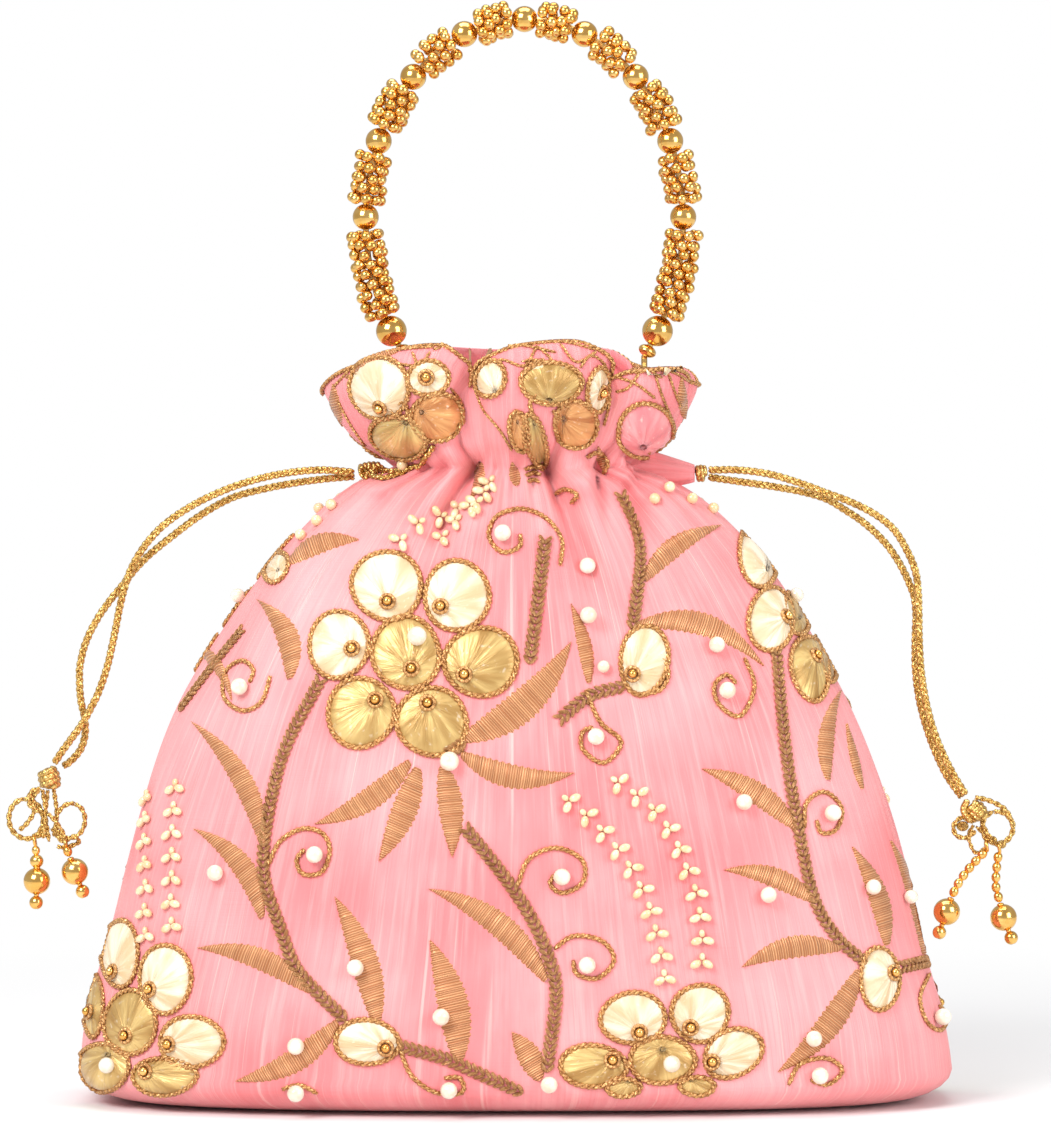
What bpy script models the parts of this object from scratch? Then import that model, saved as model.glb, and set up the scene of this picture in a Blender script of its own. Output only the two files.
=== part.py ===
"""Potli bag: a gathered silk drawstring pouch with a beaded bangle handle.

Metres, +Z up, +X to the right of the front, the front faces -Y. The origin is in the middle of
the base, on the surface that the bag stands on.
"""
import math

import bmesh
import bpy
from mathutils import Vector

# Pouch
BAG_WIDTH = 0.2266
BAG_DEPTH = 0.0950
BASE_EDGE_HEIGHT = 0.0080
BASE_EDGE_REACH = 0.0175
NECK_HEIGHT = 0.1640
NECK_WIDTH = 0.0660
NECK_DEPTH = 0.0440
NECK_BAND = 0.0036
PLEATS = 12
PLEAT_SHARE = 0.16
ROUND_SEGMENTS = 48

# Frill above the neck
FRILL_WIDTH = 0.0976
FRILL_DEPTH = 0.0680
FRILL_HEIGHT = 0.0300
LOBES = 8
LOBE_SHARE = 0.13
FRILL_WALL = 0.0022
RIM_SIDE_DROP = 0.0065
CUP_FLOOR_DEPTH = 0.0100
CUP_FUNNEL_DEPTH = 0.0080

# Handle loop, an ellipse in the XZ plane
HANDLE_HALF_WIDTH = 0.0412
HANDLE_HALF_HEIGHT = 0.0523
HANDLE_CENTRE_X = 0.0022
WIRE_RADIUS = 0.0008
WIRE_CLEARANCE = 0.0006
LARGE_BEAD_RADIUS = 0.0034
LARGE_BEADS = 9
LARGE_BEAD_STEP = math.radians(22.2)
END_BEAD_RADIUS = 0.0040
END_BEAD_ANGLE = math.radians(123.0)
SPACER_RADIUS = 0.0024
SPACER_HALF_HEIGHT = 0.0015
SPACER_BORE_LIP = 0.0002
SMALL_BEAD_RADIUS = 0.00145
SMALL_BEAD_SPACING = 1.9
CLUSTER_RADIUS = 0.0049
BEADS_ROUND = 6
EYE_STEM = 0.0007
TACK_RISE = 0.0052
EYE_RADIUS = 0.0019
TACK_RADIUS = 0.0008
TACK_HALF_SPAN = 0.0032

# Drawstrings and their ends
CORD_DIAMETER = 0.0020
KNOT_RADIUS = 0.0031
KNOT_LENGTH = 0.0065
STEM_RADIUS = 0.0020
STEM_EXTRA = 0.0030
RING_WIRE_RADIUS = 0.0006
DANGLE_EYE_RADIUS = 0.0014
DANGLE_EYE_WIRE = 0.00035
DANGLE_BEAD_RADIUS = 0.0035
DANGLE_TIP_RADIUS = 0.0018
DANGLE_STRING_BEAD = 0.0012
SEAT_GAP = 0.0003

MM = 0.001

# Routes of the four cords in millimetres, from the casing hole to the end knot
LEFT_FRONT_ROUTE = [
    (-42.0, -1.2, 162.7), (-51.2, -1.2, 163.3), (-61.5, -1.2, 162.2), (-71.9, -1.2, 159.5),
    (-82.2, -1.2, 155.1), (-90.5, -1.2, 149.8), (-95.5, -1.2, 144.8), (-98.8, -1.2, 139.9),
    (-100.9, -1.2, 135.3), (-102.8, -1.2, 128.4), (-104.3, -1.2, 120.8), (-106.2, -1.2, 112.4),
    (-108.5, -1.2, 105.6), (-110.8, -1.2, 100.9), (-112.7, -1.2, 97.5), (-114.6, -1.2, 94.8),
    (-117.7, -1.2, 90.6), (-120.1, -1.2, 87.0)]
LEFT_BACK_ROUTE = [
    (-42.0, 1.2, 161.6), (-49.1, 1.2, 161.0), (-57.4, 1.2, 159.9), (-65.7, 1.2, 158.3),
    (-73.9, 1.2, 156.0), (-82.2, 1.2, 151.4), (-90.5, 1.2, 145.2), (-95.5, 1.2, 141.1),
    (-99.2, 1.2, 137.3), (-102.2, 1.2, 133.5), (-105.4, 1.2, 129.6), (-108.9, 1.2, 124.6),
    (-111.9, 1.2, 118.6), (-113.5, 1.2, 112.4), (-113.6, 1.2, 107.4), (-113.3, 1.2, 103.2),
    (-112.4, 1.2, 99.0), (-112.2, 1.2, 94.8), (-113.2, 1.2, 90.9), (-115.6, 1.2, 87.8),
    (-118.0, 1.2, 86.0)]
RIGHT_FRONT_ROUTE = [
    (50.0, -1.2, 163.3), (57.7, -1.2, 163.3), (66.0, -1.2, 162.2), (74.3, -1.2, 159.7),
    (80.5, -1.2, 157.4), (86.7, -1.2, 155.1), (92.9, -1.2, 152.0), (97.9, -1.2, 148.1),
    (101.2, -1.2, 143.1), (103.7, -1.2, 137.3), (104.5, -1.2, 131.6), (104.7, -1.2, 125.1),
    (104.8, -1.2, 119.1), (105.3, -1.2, 111.3), (106.5, -1.2, 103.5), (108.4, -1.2, 96.2),
    (110.8, -1.2, 90.0), (113.8, -1.2, 84.0), (117.0, -1.2, 78.8)]
RIGHT_BACK_ROUTE = [
    (50.0, 1.2, 161.4), (57.7, 1.2, 160.3), (66.0, 1.2, 159.1), (74.3, 1.2, 157.6),
    (80.5, 1.2, 155.8), (84.6, 1.2, 153.5), (90.8, 1.2, 149.3), (96.3, 1.2, 144.0),
    (100.0, 1.2, 138.6), (102.4, 1.2, 133.6), (103.7, 1.2, 129.9), (104.1, 1.2, 125.1),
    (103.9, 1.2, 119.1), (104.0, 1.2, 111.3), (105.0, 1.2, 103.5), (106.9, 1.2, 96.2),
    (109.3, 1.2, 89.7), (112.3, 1.2, 83.5), (116.2, 1.2, 78.0)]
CORD_POINTS = 20

# Places of the end knots, the rings under them and the dangles, in millimetres
LEFT_BOW = {
    "knot": (-121.7, 0.0, 83.2),
    "rings": [((-128.0, 0.0, 71.4), 4.0), ((-116.8, 0.0, 71.7), 4.0)],
    "stem": (-122.4, 0.0, 71.5),
}
RIGHT_BOW = {
    "knot": (120.1, 0.0, 74.4),
    "rings": [((124.9, 0.0, 70.0), 3.9), ((116.8, 0.0, 69.4), 2.6)],
    "stem": (120.6, 0.0, 68.0),
}
# Each dangle: the ring it hangs on, the angle from the ring's lowest point, and the routes of its
# string, large bead and tip
DANGLES = {
    "dangle_left_outer": {
        "bow": "left", "ring": 0, "angle": 38.0,
        "string": [(-125.2, 0.0, 65.3), (-124.9, 0.0, 63.2), (-124.8, 0.0, 60.3)],
        "bead": (-124.8, 0.0, 56.2), "tip": (-125.0, 0.0, 50.6)},
    "dangle_left_inner": {
        "bow": "left", "ring": 1, "angle": -8.0,
        "string": [(-117.2, 0.0, 65.4), (-116.8, 0.0, 64.1), (-116.2, 0.0, 62.6)],
        "bead": (-114.9, 0.0, 58.7), "tip": (-112.9, 0.0, 53.5)},
    "dangle_right_outer": {
        "bow": "right", "ring": 0, "angle": 14.0,
        "string": [(125.7, 0.0, 63.7), (125.2, 0.0, 60.0), (125.0, 0.0, 54.8), (126.0, 0.0, 50.8)],
        "bead": (127.0, 0.0, 46.7), "tip": (129.0, 0.0, 41.4)},
    "dangle_right_inner": {
        "bow": "right", "ring": 0, "angle": -34.0,
        "string": [(122.3, 0.0, 64.1), (118.6, 0.0, 60.2), (115.7, 0.0, 56.4), (113.5, 0.0, 52.3)],
        "bead": (112.2, 0.0, 48.2), "tip": (110.3, 0.0, 42.8)},
}

# Outline of the pouch from its base edge to the shoulder under the neck band: height share of the
# shoulder, and width and depth shares, where 1 is the bag's full half width or depth and 0 the neck's
WALL_STATIONS = [
    (0.089, 0.996, 1.00), (0.199, 0.936, 0.98), (0.378, 0.852, 0.92), (0.530, 0.758, 0.82),
    (0.679, 0.634, 0.68), (0.797, 0.497, 0.52), (0.886, 0.365, 0.36), (0.945, 0.255, 0.24),
    (0.972, 0.193, 0.17), (0.991, 0.137, 0.10), (1.000, 0.050, 0.04)]
GATHER_START = 0.6
# The straight throat above the shoulder: share of the neck band, and share of the casing spout
THROAT_STATIONS = [(0.36, 1.0), (0.72, 1.0), (1.00, 0.0)]
# Outline of the frill from neck to rim: height share, and shares of the way from neck to full
# flare across the width and the depth; front and back turn in at the rim, the sides stay open
FRILL_STATIONS = [(0.10, 0.22, 0.22), (0.25, 0.52, 0.52), (0.47, 0.82, 0.82), (0.68, 1.00, 1.00),
                  (0.86, 1.00, 0.90), (1.00, 0.97, 0.66)]
# The closed neck seen from above: share of the full flare, and share of the funnel's depth
CUP_STATIONS = [(0.82, 0.0), (0.50, 0.0), (0.26, 0.8), (0.10, 1.0)]
BASE_POWER = 2.7
NECK_POWER = 2.2
SPOUT_REACH = 0.0132
SPOUT_ANGLE = 0.12
EXIT_WRAP_RADIUS = 0.0023
EXIT_WRAP_LENGTH = 0.0031
EXIT_WRAP_DROP = 0.0009
EXIT_KNOT_RADIUS = 0.0023
EXIT_KNOT_LENGTH = 0.0074
EXIT_KNOT_STAND_OFF = 0.0010
CORD_DROP = 0.0007
ARCH_POINTS = 32
EYE_POINTS = 10
EYE_FROM = math.radians(40.0)
EYE_TURN = math.radians(275.0)
DANGLE_EYE_TURN = math.radians(310.0)
BARREL_ROUNDING = 0.62
BARREL_GROOVE = 0.90
CORNER_SHARE = 0.3
STRING_WAIST = 0.62


def clear_scene():
    for old in list(bpy.data.objects):
        bpy.data.objects.remove(old, do_unlink=True)


def make_material(name, colour, roughness, metallic):
    material = bpy.data.materials.new(name)
    material.use_nodes = True
    shader = material.node_tree.nodes["Principled BSDF"]
    shader.inputs["Base Color"].default_value = (*colour, 1.0)
    shader.inputs["Roughness"].default_value = roughness
    shader.inputs["Metallic"].default_value = metallic
    return material


def add_object(name, data, material, location=(0.0, 0.0, 0.0), pivot=None):
    """Link a new object at a world location, under a pivot empty where one is given."""
    item = bpy.data.objects.new(name, data)
    bpy.context.collection.objects.link(item)
    data.materials.append(material)
    item.location = Vector(location)
    if pivot is not None:
        item.parent = pivot
        item.location = Vector(location) - pivot.location
    return item


def add_pivot(name, location):
    pivot = bpy.data.objects.new(name, None)
    bpy.context.collection.objects.link(pivot)
    pivot.location = location
    return pivot


def aim(item, direction):
    """Turn an object's own Z along a direction."""
    item.rotation_mode = "QUATERNION"
    item.rotation_quaternion = Vector(direction).to_track_quat("Z", "Y")


def loft(name, rings, closed_tube=False, smooth_angle=60.0):
    """Bridge rings of equal count; the ends are capped, or joined to each other for a bore."""
    form = bmesh.new()
    rows = [[form.verts.new(point) for point in ring] for ring in rings]
    pairs = list(zip(rows, rows[1:]))
    if closed_tube:
        pairs.append((rows[-1], rows[0]))
    else:
        form.faces.new(rows[0])
        form.faces.new(rows[-1])
    count = len(rows[0])
    for lower, upper in pairs:
        for i in range(count):
            j = (i + 1) % count
            form.faces.new((lower[i], lower[j], upper[j], upper[i]))
    bmesh.ops.recalc_face_normals(form, faces=form.faces)
    mesh = bpy.data.meshes.new(name)
    form.to_mesh(mesh)
    form.free()
    mesh.shade_smooth()
    mesh.set_sharp_from_angle(angle=math.radians(smooth_angle))
    return mesh


def circle(radius, height, segments):
    step = math.tau / segments
    return [(radius * math.cos(i * step), radius * math.sin(i * step), height)
            for i in range(segments)]


def bead_mesh(name, radius, bore, segments, steps):
    """A turned ball with a straight bore along Z."""
    first = math.asin(bore / radius)
    rings = []
    for i in range(steps + 1):
        angle = first + (math.pi - 2.0 * first) * i / steps
        rings.append(circle(radius * math.sin(angle), -radius * math.cos(angle), segments))
    return loft(name, rings, closed_tube=True)


def ball_mesh(name, radius, segments, steps):
    """A ball with small flats at its two poles."""
    rings = []
    for i in range(steps + 1):
        angle = math.pi * (i + 0.5) / (steps + 1)
        rings.append(circle(radius * math.sin(angle), -radius * math.cos(angle), segments))
    return loft(name, rings)


def torus_mesh(name, radius, wire, segments, sides):
    """A ring whose axis is Z."""
    rings = []
    for i in range(segments):
        angle = math.tau * i / segments
        out = Vector((math.cos(angle), math.sin(angle), 0.0))
        ring = []
        for j in range(sides):
            turn = math.tau * j / sides
            ring.append(out * (radius + wire * math.cos(turn)) + Vector((0, 0, wire * math.sin(turn))))
        rings.append(ring)
    return loft(name, rings, closed_tube=True)


def tube(name, points, radius, material, pivot=None, origin=(0.0, 0.0, 0.0), resolution=2,
         swell=None):
    """A capped round tube along points; swell scales the radius at each point."""
    curve = bpy.data.curves.new(name, "CURVE")
    curve.dimensions = "3D"
    curve.bevel_depth = radius
    curve.bevel_resolution = resolution
    curve.use_fill_caps = True
    spline = curve.splines.new("POLY")
    spline.points.add(len(points) - 1)
    for i, point in enumerate(points):
        local = Vector(point) - Vector(origin)
        spline.points[i].co = (*local, 1.0)
        spline.points[i].radius = swell[i] if swell else 1.0
    return add_object(name, curve, material, origin, pivot)


def smooth_route(route, count):
    """Even points in metres on one smooth curve through a route given in millimetres."""
    points = [Vector(point) * MM for point in route]
    points = [2 * points[0] - points[1]] + points + [2 * points[-1] - points[-2]]
    fine = []
    steps = 12
    for a, b, c, d in zip(points, points[1:], points[2:], points[3:]):
        for i in range(steps):
            t = i / steps
            fine.append(0.5 * (2 * b + (c - a) * t + (2 * a - 5 * b + 4 * c - d) * t ** 2
                               + (3 * b - a - 3 * c + d) * t ** 3))
    fine.append(points[-2])
    lengths = [0.0]
    for a, b in zip(fine, fine[1:]):
        lengths.append(lengths[-1] + (b - a).length)
    even = []
    k = 0
    for i in range(count):
        target = lengths[-1] * i / (count - 1)
        while k < len(fine) - 2 and lengths[k + 1] < target:
            k += 1
        share = (target - lengths[k]) / (lengths[k + 1] - lengths[k])
        even.append(fine[k].lerp(fine[k + 1], min(share, 1.0)))
    return even


def oval_ring(half_x, half_y, height, power, pleat, lobe, spout=0.0):
    """One level ring of the pouch: a superellipse drawn in by pleats and lobes."""
    ring = []
    for i in range(ROUND_SEGMENTS):
        angle = math.tau * i / ROUND_SEGMENTS
        c = math.cos(angle)
        s = math.sin(angle)
        drawn = 1.0 - pleat * (1.0 - math.cos(PLEATS * angle)) / 2.0
        drawn -= lobe * (1.0 - math.cos(LOBES * angle)) / 2.0
        x = half_x * math.copysign(abs(c) ** (2.0 / power), c) * drawn
        y = half_y * math.copysign(abs(s) ** (2.0 / power), s) * drawn
        turn = min(angle, math.tau - angle)
        x += spout * math.exp(-(turn / SPOUT_ANGLE) ** 2)
        ring.append((x, y, height))
    return ring


def base_rings():
    """The flat base and the soft rounded edge above it, which reaches further in than up."""
    rings = []
    steps = 4
    for step in range(steps):
        angle = math.pi / 2 * step / (steps - 1)
        inset = BASE_EDGE_REACH * (1.0 - math.sin(angle))
        height = BASE_EDGE_HEIGHT * (1.0 - math.cos(angle))
        rings.append(oval_ring(BAG_WIDTH / 2 - inset, BAG_DEPTH / 2 - inset, height, BASE_POWER,
                               0.0, 0.0))
    return rings


def wall_rings():
    """From the base edge to the shoulder, then the throat with its casing spout on the right."""
    rings = []
    shoulder = NECK_HEIGHT - NECK_BAND
    for share, wide, deep in WALL_STATIONS:
        half_x = NECK_WIDTH / 2 + (BAG_WIDTH - NECK_WIDTH) / 2 * wide
        half_y = NECK_DEPTH / 2 + (BAG_DEPTH - NECK_DEPTH) / 2 * deep
        gather = max(0.0, (share - GATHER_START) / (1.0 - GATHER_START))
        power = BASE_POWER + (NECK_POWER - BASE_POWER) * share
        rings.append(oval_ring(half_x, half_y, shoulder * share, power,
                               PLEAT_SHARE * gather ** 2, 0.0))
    for share, spout in THROAT_STATIONS:
        rings.append(oval_ring(NECK_WIDTH / 2, NECK_DEPTH / 2, shoulder + NECK_BAND * share,
                               NECK_POWER, PLEAT_SHARE, 0.0, SPOUT_REACH * spout))
    return rings


def frill_half(wide, deep):
    """Half width and depth of the frill's outside, where a share is 1 at its fullest."""
    return (NECK_WIDTH / 2 + (FRILL_WIDTH - NECK_WIDTH) / 2 * wide,
            NECK_DEPTH / 2 + (FRILL_DEPTH - NECK_DEPTH) / 2 * deep)


def dip_sides(ring, share):
    """Lower the left and right of a ring, where the handle's legs pass over the rim."""
    reach = max(abs(point[0]) for point in ring)
    return [(x, y, z - RIM_SIDE_DROP * share * (x / reach) ** 2) for x, y, z in ring]


def frill_rings():
    """The outside of the frill, its rim, and the cup inside it down to the closed neck."""
    rings = []
    for share, wide, deep in FRILL_STATIONS:
        half_x, half_y = frill_half(wide, deep)
        ring = oval_ring(half_x, half_y, NECK_HEIGHT + FRILL_HEIGHT * share, NECK_POWER,
                         PLEAT_SHARE * (1.0 - share) ** 2, LOBE_SHARE * share ** 0.5)
        rings.append(dip_sides(ring, share ** 2))
    for share, wide, deep in FRILL_STATIONS[:-3:-1]:
        half_x, half_y = frill_half(wide, deep)
        ring = oval_ring(half_x - FRILL_WALL, half_y - FRILL_WALL,
                         NECK_HEIGHT + FRILL_HEIGHT * share, NECK_POWER, 0.0, LOBE_SHARE)
        rings.append(dip_sides(ring, share ** 2))
    half_x, half_y = frill_half(1.0, 1.0)
    floor = cup_floor()
    rings.append(oval_ring(half_x - 2 * FRILL_WALL, half_y - 2 * FRILL_WALL,
                           floor + FRILL_WALL / 2, NECK_POWER, 0.0, LOBE_SHARE))
    for share, sink in CUP_STATIONS:
        rings.append(oval_ring(half_x * share, half_y * share, floor - CUP_FUNNEL_DEPTH * sink,
                               NECK_POWER, 0.0, LOBE_SHARE * share))
    return rings


def cup_floor():
    return NECK_HEIGHT + FRILL_HEIGHT - CUP_FLOOR_DEPTH


def build_pouch(silk):
    mesh = loft("bag_body", base_rings() + wall_rings() + frill_rings())
    return add_object("bag_body", mesh, silk)


def pivot_height():
    return cup_floor() + TACK_RISE


def end_drop():
    """How far the end bead, the spacer and the eye reach below the last bead's centre."""
    return END_BEAD_RADIUS + 2 * SPACER_HALF_HEIGHT + 2 * SEAT_GAP


def handle_centre():
    """Centre of the ellipse, set so that the wire's eyes meet the sewn tacks."""
    tangent = Vector((HANDLE_HALF_WIDTH * math.cos(END_BEAD_ANGLE), 0.0,
                      -HANDLE_HALF_HEIGHT * math.sin(END_BEAD_ANGLE))).normalized()
    foot = HANDLE_HALF_HEIGHT * math.cos(END_BEAD_ANGLE) + tangent.z * end_drop()
    stack = EYE_RADIUS + WIRE_RADIUS + EYE_STEM
    return Vector((HANDLE_CENTRE_X, 0.0, pivot_height() + stack - foot))


def handle_point(angle):
    """Point on the loop; the angle is 0 at the top and grows to the right."""
    return handle_centre() + Vector((HANDLE_HALF_WIDTH * math.sin(angle), 0.0,
                                     HANDLE_HALF_HEIGHT * math.cos(angle)))


def handle_tangent(angle):
    return Vector((HANDLE_HALF_WIDTH * math.cos(angle), 0.0,
                   -HANDLE_HALF_HEIGHT * math.sin(angle)))


def angle_for(angle, length):
    """The turn along the loop that covers a short length at an angle."""
    return length / handle_tangent(angle).length


def cluster_mesh(name, start, end, origin):
    """A sleeve of small beads: staggered rows of domes round the wire, with a bore."""
    length = handle_tangent((start + end) / 2).length * (end - start)
    rows = max(3, round(length / (SMALL_BEAD_SPACING * SMALL_BEAD_RADIUS)))
    count = 2 * BEADS_ROUND
    outer = []
    inner = []
    for k in range(2 * rows + 1):
        angle = start + (end - start) * k / (2 * rows)
        centre = handle_point(angle) - origin
        out = Vector((handle_tangent(angle).z, 0.0, -handle_tangent(angle).x)).normalized()
        side = Vector((0.0, 1.0, 0.0))
        ring = []
        bore = []
        for j in range(count):
            turn = math.tau * j / count
            way = out * math.cos(turn) + side * math.sin(turn)
            crest = k % 2 == 1 and (j + k // 2) % 2 == 0
            radius = CLUSTER_RADIUS if crest else CLUSTER_RADIUS - SMALL_BEAD_RADIUS
            ring.append(centre + way * radius)
            bore.append(centre + way * (WIRE_RADIUS + WIRE_CLEARANCE))
        outer.append(ring)
        if k % 2 == 0:
            inner.append(bore)
    return loft(name, outer + inner[::-1], closed_tube=True, smooth_angle=30.0)


def bead_angles():
    half = LARGE_BEADS // 2
    return [LARGE_BEAD_STEP * (i - half) for i in range(LARGE_BEADS)]


def build_handle_beads(gold, pivot):
    mesh = bead_mesh("handle_bead", LARGE_BEAD_RADIUS, WIRE_RADIUS + WIRE_CLEARANCE, 12, 5)
    for i, angle in enumerate(bead_angles()):
        bead = add_object(f"handle_bead_{i + 1}", mesh.copy(), gold, handle_point(angle), pivot)
        aim(bead, handle_tangent(angle))
    bpy.data.meshes.remove(mesh)
    for side, name in ((-1, "left"), (1, "right")):
        angle = side * END_BEAD_ANGLE
        end = bead_mesh("handle_end_bead", END_BEAD_RADIUS, WIRE_RADIUS + WIRE_CLEARANCE, 14, 7)
        bead = add_object(f"handle_end_bead_{name}", end, gold, handle_point(angle), pivot)
        aim(bead, handle_tangent(angle))


def build_handle_clusters(gold, pivot):
    stops = [(-END_BEAD_ANGLE, END_BEAD_RADIUS)]
    stops += [(angle, LARGE_BEAD_RADIUS) for angle in bead_angles()]
    stops += [(END_BEAD_ANGLE, END_BEAD_RADIUS)]
    for i, (first, second) in enumerate(zip(stops, stops[1:])):
        start = first[0] + angle_for(first[0], first[1] + SEAT_GAP)
        end = second[0] - angle_for(second[0], second[1] + SEAT_GAP)
        mesh = cluster_mesh(f"handle_cluster_{i + 1}", start, end, pivot.location)
        add_object(f"handle_cluster_{i + 1}", mesh, gold, pivot.location, pivot)


def leg_foot(side):
    """Where the wire leaves the spacer, under the end bead."""
    angle = side * END_BEAD_ANGLE
    return handle_point(angle) + side * handle_tangent(angle).normalized() * end_drop()


def pivot_point(side):
    foot = leg_foot(side)
    return Vector((foot.x, 0.0, pivot_height()))


def spacer_mesh(name):
    """A flattened bead with a bore."""
    bore = WIRE_RADIUS + WIRE_CLEARANCE
    rings = []
    for i in range(5):
        angle = math.radians(15.0 + 37.5 * i)
        radius = max(bore + SPACER_BORE_LIP, SPACER_RADIUS * math.sin(angle))
        rings.append(circle(radius, -SPACER_HALF_HEIGHT * math.cos(angle), 12))
    mouth = SPACER_HALF_HEIGHT - SPACER_BORE_LIP
    rings.append(circle(bore, mouth, 12))
    rings.append(circle(bore, -mouth, 12))
    return loft(name, rings, closed_tube=True)


def build_spacers(gold, pivot):
    reach = END_BEAD_RADIUS + SEAT_GAP + SPACER_HALF_HEIGHT
    for side, name in ((-1, "left"), (1, "right")):
        angle = side * END_BEAD_ANGLE
        way = side * handle_tangent(angle).normalized()
        mesh = spacer_mesh("handle_spacer")
        spacer = add_object(f"handle_spacer_{name}", mesh, gold, handle_point(angle) + way * reach,
                            pivot)
        aim(spacer, way)


def eye_points(side):
    """The hook bent round the tack, from its free end to the stem."""
    centre = pivot_point(side)
    points = []
    for i in range(EYE_POINTS):
        turn = EYE_FROM - EYE_TURN * i / (EYE_POINTS - 1)
        points.append(centre + Vector((0.0, EYE_RADIUS * math.cos(turn),
                                       EYE_RADIUS * math.sin(turn))))
    stem = EYE_RADIUS + EYE_STEM
    points.append(centre + Vector((0.0, -CORNER_SHARE * EYE_RADIUS, stem)))
    return points


def build_handle_core(wire, pivot):
    """One wire: an eye, up the left leg, round the loop and down to the other eye."""
    arch = []
    for i in range(ARCH_POINTS + 1):
        arch.append(handle_point(END_BEAD_ANGLE * (2.0 * i / ARCH_POINTS - 1.0)))
    points = eye_points(-1) + [leg_foot(-1)] + arch + [leg_foot(1)] + eye_points(1)[::-1]
    tube("handle_core", points, WIRE_RADIUS, wire, pivot, pivot.location, 1)


def build_tacks(thread):
    """The sewn thread bars inside the frill that the handle's eyes turn on."""
    foot = cup_floor() + SEAT_GAP
    top = pivot_height()
    corner = TACK_RADIUS
    for side, name in ((-1, "left"), (1, "right")):
        x = pivot_point(side).x
        half = TACK_HALF_SPAN
        points = [(x - half, 0.0, foot), (x - half, 0.0, top - corner),
                  (x - half + CORNER_SHARE * corner, 0.0, top - CORNER_SHARE * corner),
                  (x - half + corner, 0.0, top), (x + half - corner, 0.0, top),
                  (x + half - CORNER_SHARE * corner, 0.0, top - CORNER_SHARE * corner),
                  (x + half, 0.0, top - corner), (x + half, 0.0, foot)]
        tube(f"handle_tack_{name}", points, TACK_RADIUS, thread)


def build_handle(gold, wire, thread):
    pivot = add_pivot("handle_pivot", Vector((HANDLE_CENTRE_X, 0.0, pivot_height())))
    build_handle_beads(gold, pivot)
    build_handle_clusters(gold, pivot)
    build_spacers(gold, pivot)
    build_handle_core(wire, pivot)
    build_tacks(thread)


def barrel_mesh(name, radius, length, wraps, segments):
    """A wound barrel along Z: one shallow groove between wraps."""
    rings = []
    count = 2 * wraps
    for i in range(count + 1):
        share = 2.0 * i / count - 1.0
        bulge = math.sqrt(1.0 - BARREL_ROUNDING * share ** 2)
        groove = BARREL_GROOVE if i % 2 == 0 else 1.0
        rings.append(circle(radius * bulge * groove, length / 2 * share, segments))
    return loft(name, rings)


def build_exits(cord):
    """The knot at the left casing hole and the wrapped ring at the right one."""
    hole = NECK_HEIGHT - CORD_DROP
    x = -(NECK_WIDTH / 2 + EXIT_KNOT_STAND_OFF + EXIT_KNOT_LENGTH / 2)
    mesh = barrel_mesh("exit_knot_left", EXIT_KNOT_RADIUS, EXIT_KNOT_LENGTH, 3, 12)
    knot = add_object("exit_knot_left", mesh, cord, (x, 0.0, hole))
    aim(knot, (1.0, 0.0, 0.0))
    x = NECK_WIDTH / 2 + SPOUT_REACH + SEAT_GAP + EXIT_WRAP_LENGTH / 2
    mesh = barrel_mesh("exit_wrap_right", EXIT_WRAP_RADIUS, EXIT_WRAP_LENGTH, 2, 12)
    wrap = add_object("exit_wrap_right", mesh, cord, (x, 0.0, hole - EXIT_WRAP_DROP))
    aim(wrap, (1.0, 0.0, 0.0))


def join_by_boolean(target, other):
    """Fuse a hidden guide object into the target."""
    other.hide_render = True
    other.display_type = "WIRE"
    fuse = target.modifiers.new("fuse_" + other.name, "BOOLEAN")
    fuse.operation = "UNION"
    fuse.object = other


def build_bow(name, places, cord):
    """The knot that ends a pair of cords, with its stem and its two loops in one piece."""
    knot_at = Vector(places["knot"]) * MM
    stem_at = Vector(places["stem"]) * MM
    mesh = barrel_mesh(name, KNOT_RADIUS, KNOT_LENGTH, 3, 14)
    bow = add_object(name, mesh, cord, knot_at)
    stem_length = knot_at.z - stem_at.z + STEM_EXTRA
    mesh = barrel_mesh(name + "_stem_guide", STEM_RADIUS, stem_length, 4, 10)
    stem = add_object(name + "_stem_guide", mesh, cord, (knot_at + stem_at) / 2)
    aim(stem, knot_at - stem_at)
    join_by_boolean(bow, stem)
    for i, (centre, radius) in enumerate(places["rings"]):
        mesh = torus_mesh(f"{name}_ring_guide_{i}", radius * MM, RING_WIRE_RADIUS, 16, 6)
        ring = add_object(f"{name}_ring_guide_{i}", mesh, cord, Vector(centre) * MM)
        aim(ring, (0.0, 1.0, 0.0))
        join_by_boolean(bow, ring)


def build_cords(cord):
    routes = (("cord_left_front", LEFT_FRONT_ROUTE), ("cord_left_back", LEFT_BACK_ROUTE),
              ("cord_right_front", RIGHT_FRONT_ROUTE), ("cord_right_back", RIGHT_BACK_ROUTE))
    for name, route in routes:
        tube(name, smooth_route(route, CORD_POINTS), CORD_DIAMETER / 2, cord)


def dangle_pivot(plan):
    """Point on the ring's wire that a dangle's eye hangs on, and the wire's direction there."""
    bow = LEFT_BOW if plan["bow"] == "left" else RIGHT_BOW
    centre, radius = bow["rings"][plan["ring"]]
    angle = math.radians(plan["angle"])
    point = Vector(centre) * MM + radius * MM * Vector((math.sin(angle), 0.0, -math.cos(angle)))
    return point, Vector((math.cos(angle), 0.0, math.sin(angle)))


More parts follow.
